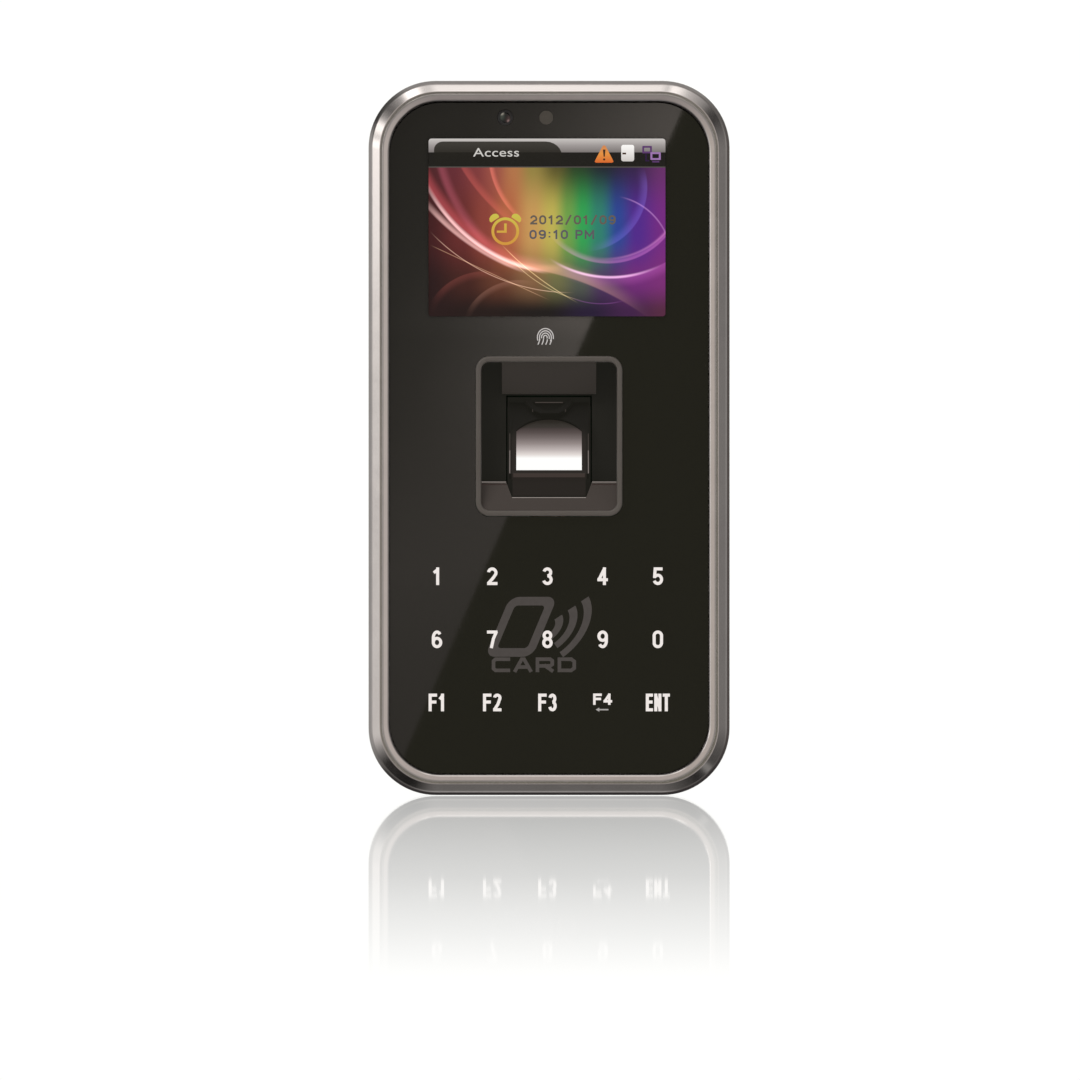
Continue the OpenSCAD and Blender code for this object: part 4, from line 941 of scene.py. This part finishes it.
# ---------------------------------------------------------------- keypad figures, card mark and finger mark

legend_depth = glass_back - 0.012
PITCH_X, PITCH_Z, KEYPAD_Z = 13.45, 15.38, -49.05
KEYS = [["1", "2", "3", "4", "5"], ["6", "7", "8", "9", "0"], ["F1", "F2", "F3", "F4", "ENT"]]
# Height, width of one character, gap, line width and lift
KEY_SIZES = {"1": (4.3, 2.55, 0.42, 0.74, 0.0), "F1": (4.3, 2.05, 0.4, 0.74, 0.0), "F4": (2.75, 2.1, 0.42, 0.6, 0.8),
             "ENT": (4.3, 1.74, 0.32, 0.74, 0.0)}
for row, names in enumerate(KEYS):
    for column, label in enumerate(names):
        x = FRONT_X + 0.1 + (column - 2) * PITCH_X
        z = KEYPAD_Z + (1 - row) * PITCH_Z
        height, width, gap, line, lift = KEY_SIZES.get(label, KEY_SIZES["F1" if len(label) > 1 else "1"])
        text = stroked(f"figure_{label}", label, x, z + lift, height, width, gap, line, legend_depth, M["key_white"])
        piece(text, "diffuser_white")
arrow_x, arrow_z = FRONT_X + 0.1 + PITCH_X, KEYPAD_Z - PITCH_Z - 1.75
arrow = [(-1.7, 0.0), (-0.8, 0.5), (-0.8, 0.17), (1.4, 0.17), (1.4, -0.17), (-0.8, -0.17), (-0.8, -0.5)]
piece(plate("figure_arrow", [[(arrow_x + x, arrow_z + z) for x, z in arrow]], legend_depth - 0.02,
            legend_depth, M["arrow_grey"]), "diffuser_white")

# Card with three waves, as a plain sign for a card reader
mark_low, mark_high = glass_back - 0.065, glass_back - 0.045


def slanted(points, lean=0.42, cx=-2.6, cz=-46.0):
    return [(cx + x + lean * z, cz + z) for x, z in points]


mark = [plate("mark_card", [slanted(rounded(11.6, 14.6, 2.4, -4.2, 0)), slanted(rounded(7.4, 10.4, 0.9, -4.2, 0))],
              mark_low, mark_high, M["mark_grey"])]
for i, radius in enumerate((3.4, 6.6, 9.8)):
    mark.append(plate(f"mark_wave_{i}", [slanted(ribbon(arc(1.4, 0, radius, -44, 44), 1.8)[0])], mark_low, mark_high,
                      M["mark_grey"]))
piece(joined("card_mark", mark), "diffuser_white")
piece(stroked("card_word", "CARD", -3.7, -55.25, 3.6, 4.5, 0.85, 0.88, mark_high, M["mark_grey"]), "diffuser_white")


def finger_mark():
    """Small sign for a fingerprint: broken ridges round one another."""
    ridges = []
    cx, cz = -0.9, 24.5
    for i, (start, end) in enumerate(((-30, 215), (-20, 190), (-35, 205), (-10, 200))):
        r = 0.45 + 0.5 * i
        ridges.append(plate(f"ridge_{i}", ribbon(arc(cx, cz, r, start, end, 22, r * 1.12), 0.24), mark_low,
                            mark_high, M["icon_grey"]))
    for i, x in enumerate((-1.4, -0.45, 0.5, 1.5)):
        ridges.append(plate(f"ridge_low_{i}", ribbon([(cx + x, cz - 0.25 - 0.1 * i), (cx + x - 0.1, cz - 1.0),
                                                      (cx + x - 0.42, cz - 1.75)], 0.24), mark_low, mark_high,
                            M["icon_grey"]))
    return joined("finger_mark", ridges)


piece(finger_mark(), "diffuser_white")

# ---------------------------------------------------------------- finger well


def well_frame():
    """Thin frame round the well, with a rounded crown."""
    w, h = WELL[0] + 2 * TRIM, WELL[1] + 2 * TRIM
    profile = [(0, 39.0), (0, trim_top - 0.34), (0.04, trim_top - 0.2), (0.14, trim_top - 0.08),
               (0.3, trim_top - 0.01), (0.45, trim_top), (TRIM - 0.5, trim_top), (TRIM - 0.3, trim_top - 0.03),
               (TRIM - 0.12, trim_top - 0.13), (TRIM - 0.02, trim_top - 0.32), (TRIM, trim_top - 0.6), (TRIM, 39.0)]
    rings = [[point(x, depth, z) for x, z in rounded(w - 2 * t, h - 2 * t, TRIM_R - t, cz=WELL_Z, steps=14)]
             for t, depth in profile]
    return loft("well_frame", rings, M["trim"], sharp=50)


piece(well_frame(), "well_trim_plastic", "well_trim")


def surface_depth(node, x, z):
    """Depth of a CAD node's front surface at a place."""
    obj = nodes[node]
    turn = obj.matrix_world.inverted()
    hit, place, _, _ = obj.ray_cast(turn @ point(x, 60, z), turn.to_3x3() @ Vector((0, 1, 0)))
    return -(obj.matrix_world @ place).y / MM if hit else None


def painted_light_strip(name, node, x0, z0, x1, z1, width, look, steps=8):
    """A thin strip of painted light that follows a CAD surface from one place to another: painted highlights along
    edges, and painted shade under the ledge's crest.
    """
    d = math.hypot(x1 - x0, z1 - z0)
    nx, nz = -(z1 - z0) / d * width / 2, (x1 - x0) / d * width / 2
    rings = []
    for i in range(steps + 1):
        x, z = x0 + (x1 - x0) * i / steps, z0 + (z1 - z0) * i / steps
        depth = surface_depth(node, x, z)
        if depth is not None:
            rings.append([point(x + nx, depth + 0.03, z + nz), point(x - nx, depth + 0.03, z - nz),
                          point(x - nx, depth - 0.08, z - nz), point(x + nx, depth - 0.08, z + nz)])
    return piece(loft(name, rings, M[look], closed=False), "well_plastic")


# Painted highlights on the notch, the ledge's crest, the cover's sides and the fingertip stop, and painted shade just
# under the crest
# Name, node, start, end, width, look and steps
strips = [("notch_painted_glint", "finger_well", -9.0, -14.52, 9.0, -14.52, 0.2, "edge"),
          ("stop_glint", "sensor_cover", -3.4, 8.75, 3.4, 8.75, 0.45, "edge_faint")]
for side, sign in (("left", -1), ("right", 1)):
    outer, inner = sorted((sign * 16.45, sign * 10.5))
    strips += [(f"ledge_painted_glint_{side}", "finger_well", outer, -10.72, inner, -10.72, 0.2, "edge"),
               (f"ledge_shade_{side}", "finger_well", outer, -11.35, inner, -11.35, 0.22, "ledge_shade"),
               (f"cover_glint_{side}", "sensor_cover", sign * 9.58, -8.6, sign * 9.58, -3.0, 0.24, "edge_dim"),
               (f"cover_glint_upper_{side}", "sensor_cover", sign * 9.58, -3.0, sign * 9.58, 1.2, 0.2, "edge_faint"),
               (f"stop_glint_dot_{side}", "sensor_cover", sign * 3.95, 6.5, sign * 3.95, 7.1, 0.3, "edge_faint", 2)]
for values in strips:
    painted_light_strip(*values)


def camera_glass():
    """Domed lens with painted reflections of a lamp and of a warm wall on it."""
    material, n, shader = new_material("camera_glass")
    x, _, z = n.place_mm()
    tone = (0.004, 0.0045, 0.004)
    # Each painted reflection spot: its place from the lens's middle, inner and outer radius, and colour
    for dx, dz, inner, outer, light in ((1.0, -0.5, 0.0, 1.5, (0.045, 0.026, 0.024)),
                                        (0.8, -0.8, 0.1, 0.55, (0.2, 0.13, 0.12)),
                                        (-0.9, 0.2, 0.2, 1.3, (0.035, 0.042, 0.034)),
                                        (-0.85, 1.15, 0.1, 0.85, (0.33, 0.31, 0.26))):
        d = n.length(n.math("SUBTRACT", x, CAMERA_AT[0] + dx), n.math("SUBTRACT", z, CAMERA_AT[1] + dz))
        tone = n.mix(n.smooth(d, inner, outer, 1.0, 0.0), tone, light)
    n.put(shader.inputs["Emission Color"], tone)
    fix(shader, Emission_Strength=1.0, Base_Color=(0.004, 0.004, 0.004, 1))
    n.rough(shader, n.noise(n.place(), 900.0), 0.04, 0.08)
    radius, crown, rim, steps = 1.88, 0.7, 0.2, 12
    top = node_box("camera_lens")[1][1]
    rings = [[point(x, top - crown - rim, z) for x, z in circle(*CAMERA_AT, radius, 36)]]
    for i in range(steps + 1):
        a = math.pi / 2 * i / steps
        rings.append([point(x, top - crown + crown * math.sin(a), z)
                      for x, z in circle(*CAMERA_AT, max(radius * math.cos(a), 0.02), 36)])
    return loft("camera_glass", rings, material, closed=False, sharp=70)


piece(camera_glass(), "lens_glass", "camera_lens")
piece(plate("lamp_filter", [circle(*LAMP_AT, 1.66)], glass_back - 0.4, glass_back - 0.1, M["smoke"], 0.05),
      "smoked_lamp")

# ---------------------------------------------------------------- tamper spring


def plunger_coil():
    """Fine wire coil behind the tamper plunger's flange, drawn at one length; nothing here shortens it by the
    plunger's stroke.
    """
    wire, radius, turns, steps, sides, stroke = 0.2, 2.0, 4.5, 24, 10, 1.2
    (x0, low, z0), (x1, high, z1) = node_box("tamper_spring")
    cx, cz = (x0 + x1) / 2, (z0 + z1) / 2
    count = round(turns * steps)
    rings = []
    for i in range(count + 1):
        middle = low + wire + (high - low - 2 * wire) * i / count
        across = circle(0, 0, wire, sides)
        rings.append([point(cx + (radius + r) * math.cos(2 * math.pi * i / steps), middle + d,
                            cz + (radius + r) * math.sin(2 * math.pi * i / steps)) for r, d in across])
    coil = piece(loft("plunger_coil", rings, M["steel"], closed=False, sharp=60), "spring_steel", "tamper_spring")
    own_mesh(coil)


plunger_coil()

# ---------------------------------------------------------------- stage, lights and camera


def studio():
    """White floor whose polish is strongest by the object."""
    z = -case_z * MM - FLOOR_GAP
    floor = bare_mesh("floor", [(-6, -6, z), (6, -6, z), (6, 6, z), (-6, 6, z)], [(0, 1, 2, 3)])
    material, n = empty_material("pale_floor")
    output = n.add("ShaderNodeOutputMaterial")
    white = n.add("ShaderNodeEmission")
    fix(white, Color=WHITE, Strength=WHITE_LEVEL)
    polish = n.add("ShaderNodeBsdfGlossy")
    fix(polish, Color=(1, 1, 1, 1), Roughness=0.03)
    reach = 650.0
    near = n.level(n.math("DIVIDE", n.place_mm()[1], reach),
                   [(0.0, 0.62), (0.25, 0.5), (0.6, 0.33), (0.85, 0.14), (1.0, 0.0)])
    facing = n.add("ShaderNodeLayerWeight").outputs["Facing"]
    front = n.blend(n.times(near, n.smooth(facing, 0.66, 0.9)), white, polish)
    clear = n.add("ShaderNodeBsdfTransparent")
    n.put(output.inputs[0], n.blend(n.add("ShaderNodeNewGeometry").outputs["Backfacing"], front, clear).outputs[0])
    floor.data.materials.append(material)
    floor.visible_diffuse = floor.visible_glossy = floor.visible_transmission = floor.visible_shadow = False


def card(camera_at):
    """Studio card seen only as a mirror image: dark, with a slanting edge and a glow that fades to the left."""
    depth = -camera_at.y / MM + 15
    near, far = -camera_at.y / MM - glass_face, depth - glass_face
    stretch = 1 + far / near
    shift_x, shift_z = camera_at.x / MM * far / near, camera_at.z / MM * far / near
    corners = [(x * stretch - shift_x, z * stretch - shift_z)
               for x, z in ((-60, -110), (60, -110), (60, 110), (-60, 110))]
    obj = bare_mesh("mirror_card", [point(x, depth, z) for x, z in corners], [(3, 2, 1, 0)])
    material, n = empty_material("mirror_card")
    # Millimetres on the card, and then where they are mirrored on the window
    x, _, z = n.place_mm()
    x = n.math("DIVIDE", n.math("ADD", x, shift_x), stretch)
    z = n.math("DIVIDE", n.math("ADD", z, shift_z), stretch)
    # The slanting edge, as x at a height
    edge = n.math("ADD", n.times(n.math("SUBTRACT", z, 75.9), 0.4306), 30.7)
    left = n.math("SUBTRACT", edge, x)
    side = n.smooth(left, -0.25, 0.25)
    height = n.math("DIVIDE", n.math("ADD", z, 85.0), 170.0, clamp=True)
    glow_level = n.level(height, [(0.0, 0.0), (0.28, 0.02), (0.374, 0.13), (0.45, 0.25), (0.52, 0.45), (0.58, 0.68),
                                  (0.64, 0.78), (0.67, 1.15), (0.85, 0.95), (1.0, 0.8)])
    base_level = n.level(height, [(0.0, 0.18), (0.09, 0.19), (0.19, 0.21), (0.3, 0.25), (0.374, 0.2), (0.45, 0.13),
                                  (0.52, 0.07), (0.58, 0.04), (0.8, 0.02), (1.0, 0.03)])
    fade = n.level(n.math("DIVIDE", left, 70.0, clamp=True),
                   [(0.0, 1.0), (0.2, 0.63), (0.37, 0.36), (0.51, 0.18), (0.7, 0.07), (1.0, 0.0)])
    light = n.times(side, n.math("ADD", base_level, n.times(glow_level, fade)))
    # The card has a dark opening where the lit screen would mirror it
    across = n.math("ABSOLUTE", n.math("SUBTRACT", x, FRONT_X))
    up = n.math("ABSOLUTE", n.math("SUBTRACT", z, SCREEN[2]))
    opening = n.times(*(n.smooth(value, size / 2 - 0.1, size / 2 + 0.1, 1.0, 0.0)
                        for value, size in ((across, SCREEN[0]), (up, SCREEN[1]))))
    tone = n.mix(side, (0.19, 0.18, 0.125), (0.19, 0.175, 0.145))
    lit_tone = n.mix(1.0, tone, n.mix(light, (0, 0, 0), (0.78, 0.69, 0.63)), "ADD")
    emit = n.add("ShaderNodeEmission")
    n.put(emit.inputs["Color"], n.mix(opening, lit_tone, (0.03, 0.03, 0.03)))
    n.put(n.add("ShaderNodeOutputMaterial").inputs[0], emit.outputs[0])
    obj.data.materials.append(material)
    obj.visible_camera = obj.visible_diffuse = obj.visible_shadow = False


def world():
    """White behind the object. Light and reflections see a dark studio with bright cards above and to the left."""
    sky = bpy.data.worlds.new("studio")
    bpy.context.scene.world = sky
    sky.use_nodes = True
    n = Nodes(sky.node_tree)
    n.tree.nodes.clear()
    output = n.add("ShaderNodeOutputWorld")
    parts = n.add("ShaderNodeSeparateXYZ")
    n.put(parts.inputs[0], n.add("ShaderNodeTexCoord").outputs["Generated"])
    towards = n.times(parts.outputs["Y"], -1.0)
    # Round the viewing axis: 0 is to the right, a quarter is up, a half is left
    turn = n.math("ARCTAN2", parts.outputs["Z"], parts.outputs["X"])
    turn = n.math("FRACT", n.math("ADD", n.math("DIVIDE", turn, 2 * math.pi), 1.0))
    grey = [(0.0, 0.225), (0.05, 0.16), (0.09, 0.035), (0.115, 0.09), (0.1325, 0.3), (0.18, 0.65), (0.2, 1.3),
            (0.22, 1.6), (0.228, 0.5), (0.243, 1.38), (0.258, 1.38), (0.268, 0.9), (0.288, 0.8), (0.303, 1.9),
            (0.326, 2.1), (0.342, 0.45), (0.383, 0.09), (0.412, 0.45), (0.424, 1.7), (0.442, 1.6), (0.455, 0.7),
            (0.472, 1.9), (0.482, 1.7), (0.492, 0.69), (0.53, 0.75), (0.567, 0.26), (0.6, 0.02), (0.69, 0.01),
            (0.742, 0.165), (0.845, 0.02), (0.93, 0.09), (1.0, 0.225)]
    sides = n.mix(1.0, n.level(turn, grey), (1.0, 0.93, 0.9), "MULTIPLY")
    streak = n.times(n.smooth(turn, 0.868, 0.878), n.smooth(turn, 0.886, 0.896, 1.0, 0.0), 0.3)
    sides = n.mix(streak, sides, (0.9, 0.86, 0.83))
    inner = n.ramp(turn, [(0.0, (0.6, 0.53, 0.5)), (0.25, (0.54, 0.47, 0.44)), (0.5, (0.57, 0.5, 0.46)),
                          (0.625, (0.42, 0.37, 0.35)), (0.75, (0.32, 0.28, 0.27)), (0.875, (0.45, 0.4, 0.38)),
                          (1.0, (0.6, 0.53, 0.5))])
    rim = n.ramp(turn, [(0.0, (0.34, 0.32, 0.31)), (0.04, (0.3, 0.28, 0.27)), (0.09, (0.12, 0.11, 0.105)),
                        (0.17, (0.22, 0.2, 0.19)), (0.24, (0.36, 0.33, 0.32)), (0.27, (0.36, 0.33, 0.32)),
                        (0.35, (0.1, 0.095, 0.09)), (0.45, (0.1, 0.095, 0.09)), (0.485, (0.46, 0.43, 0.42)),
                        (0.52, (0.46, 0.43, 0.42)), (0.58, (0.14, 0.13, 0.125)), (0.68, (0.12, 0.11, 0.105)),
                        (0.745, (0.4, 0.38, 0.37)), (0.755, (0.4, 0.38, 0.37)), (0.8, (0.12, 0.11, 0.105)),
                        (0.94, (0.12, 0.11, 0.105)), (1.0, (0.34, 0.32, 0.31))])
    front = n.ramp(towards, [(0.0, (0.3, 0.28, 0.27)), (0.97, (0.3, 0.28, 0.27)), (1.0, (0.2, 0.19, 0.18))])
    behind = n.ramp(turn, [(0.0, (0.11, 0.095, 0.09)), (0.1, (0.13, 0.12, 0.115)), (0.16, (0.3, 0.28, 0.27)),
                           (0.32, (0.32, 0.3, 0.29)), (0.36, (0.1, 0.095, 0.09)), (0.42, (0.05, 0.045, 0.045)),
                           (0.46, (0.36, 0.34, 0.33)), (0.54, (0.36, 0.34, 0.33)), (0.62, (0.05, 0.045, 0.045)),
                           (0.75, (0.04, 0.035, 0.035)), (0.9, (0.05, 0.045, 0.045)), (1.0, (0.11, 0.095, 0.09))])
    light = n.mix(n.smooth(towards, 0.66, 0.78), sides, inner)
    light = n.mix(n.smooth(towards, 0.9, 0.97), light, front)
    light = n.mix(n.smooth(towards, 0.42, 0.5), rim, light)
    light = n.mix(n.smooth(towards, 0.1, 0.28), behind, light)
    light = n.mix(n.smooth(towards, -0.97, -0.93), (1.02, 1.02, 1.0), light)
    to_light, to_camera = n.add("ShaderNodeBackground"), n.add("ShaderNodeBackground")
    n.put(to_light.inputs["Color"], light)
    fix(to_light, Strength=1.0)
    fix(to_camera, Color=WHITE, Strength=WHITE_LEVEL)
    ray = n.add("ShaderNodeLightPath").outputs["Is Camera Ray"]
    n.put(output.inputs[0], n.blend(ray, to_light, to_camera).outputs[0])


def area_light(name, at, size, power):
    """Soft light aimed at the object's middle, which reflections don't see."""
    light = bpy.data.lights.new(name, "AREA")
    light.shape = "RECTANGLE"
    light.size, light.size_y = size
    light.energy = power
    obj = link(name, light)
    obj.location = at
    obj.rotation_euler = (-Vector(at)).to_track_quat("-Z", "Y").to_euler()
    obj.visible_glossy = obj.visible_transmission = False


def camera():
    lens, sensor = 200.0, 36.0
    frame_width = 262.55 * MM
    distance = frame_width * lens / sensor
    cam = bpy.data.cameras.new("camera")
    cam.lens = lens
    cam.sensor_width = sensor
    cam.clip_start = 0.01
    cam.clip_end = 50
    obj = link("camera", cam)
    obj.location = (-2.21 * MM, -crest * MM - distance, -24.85 * MM)
    obj.rotation_euler = (math.pi / 2, 0, 0)
    bpy.context.scene.camera = obj
    return obj.location


studio()
world()
card(camera())
for name, at, size, power in (("key_light", (-0.55, -0.75, 0.75), (0.7, 0.5), 9.0),
                              ("fill_light", (0.9, -0.5, 0.15), (0.4, 0.8), 2.5),
                              ("back_light", (0.55, 1.0, 0.5), (0.8, 0.6), 22.0),
                              ("back_fill", (-0.8, 0.9, -0.1), (0.5, 0.8), 9.0),
                              ("low_fill", (0.1, -0.2, -1.1), (0.8, 0.5), 6.0)):
    area_light(name, at, size, power)
bpy.context.scene.view_settings.view_transform = "Standard"
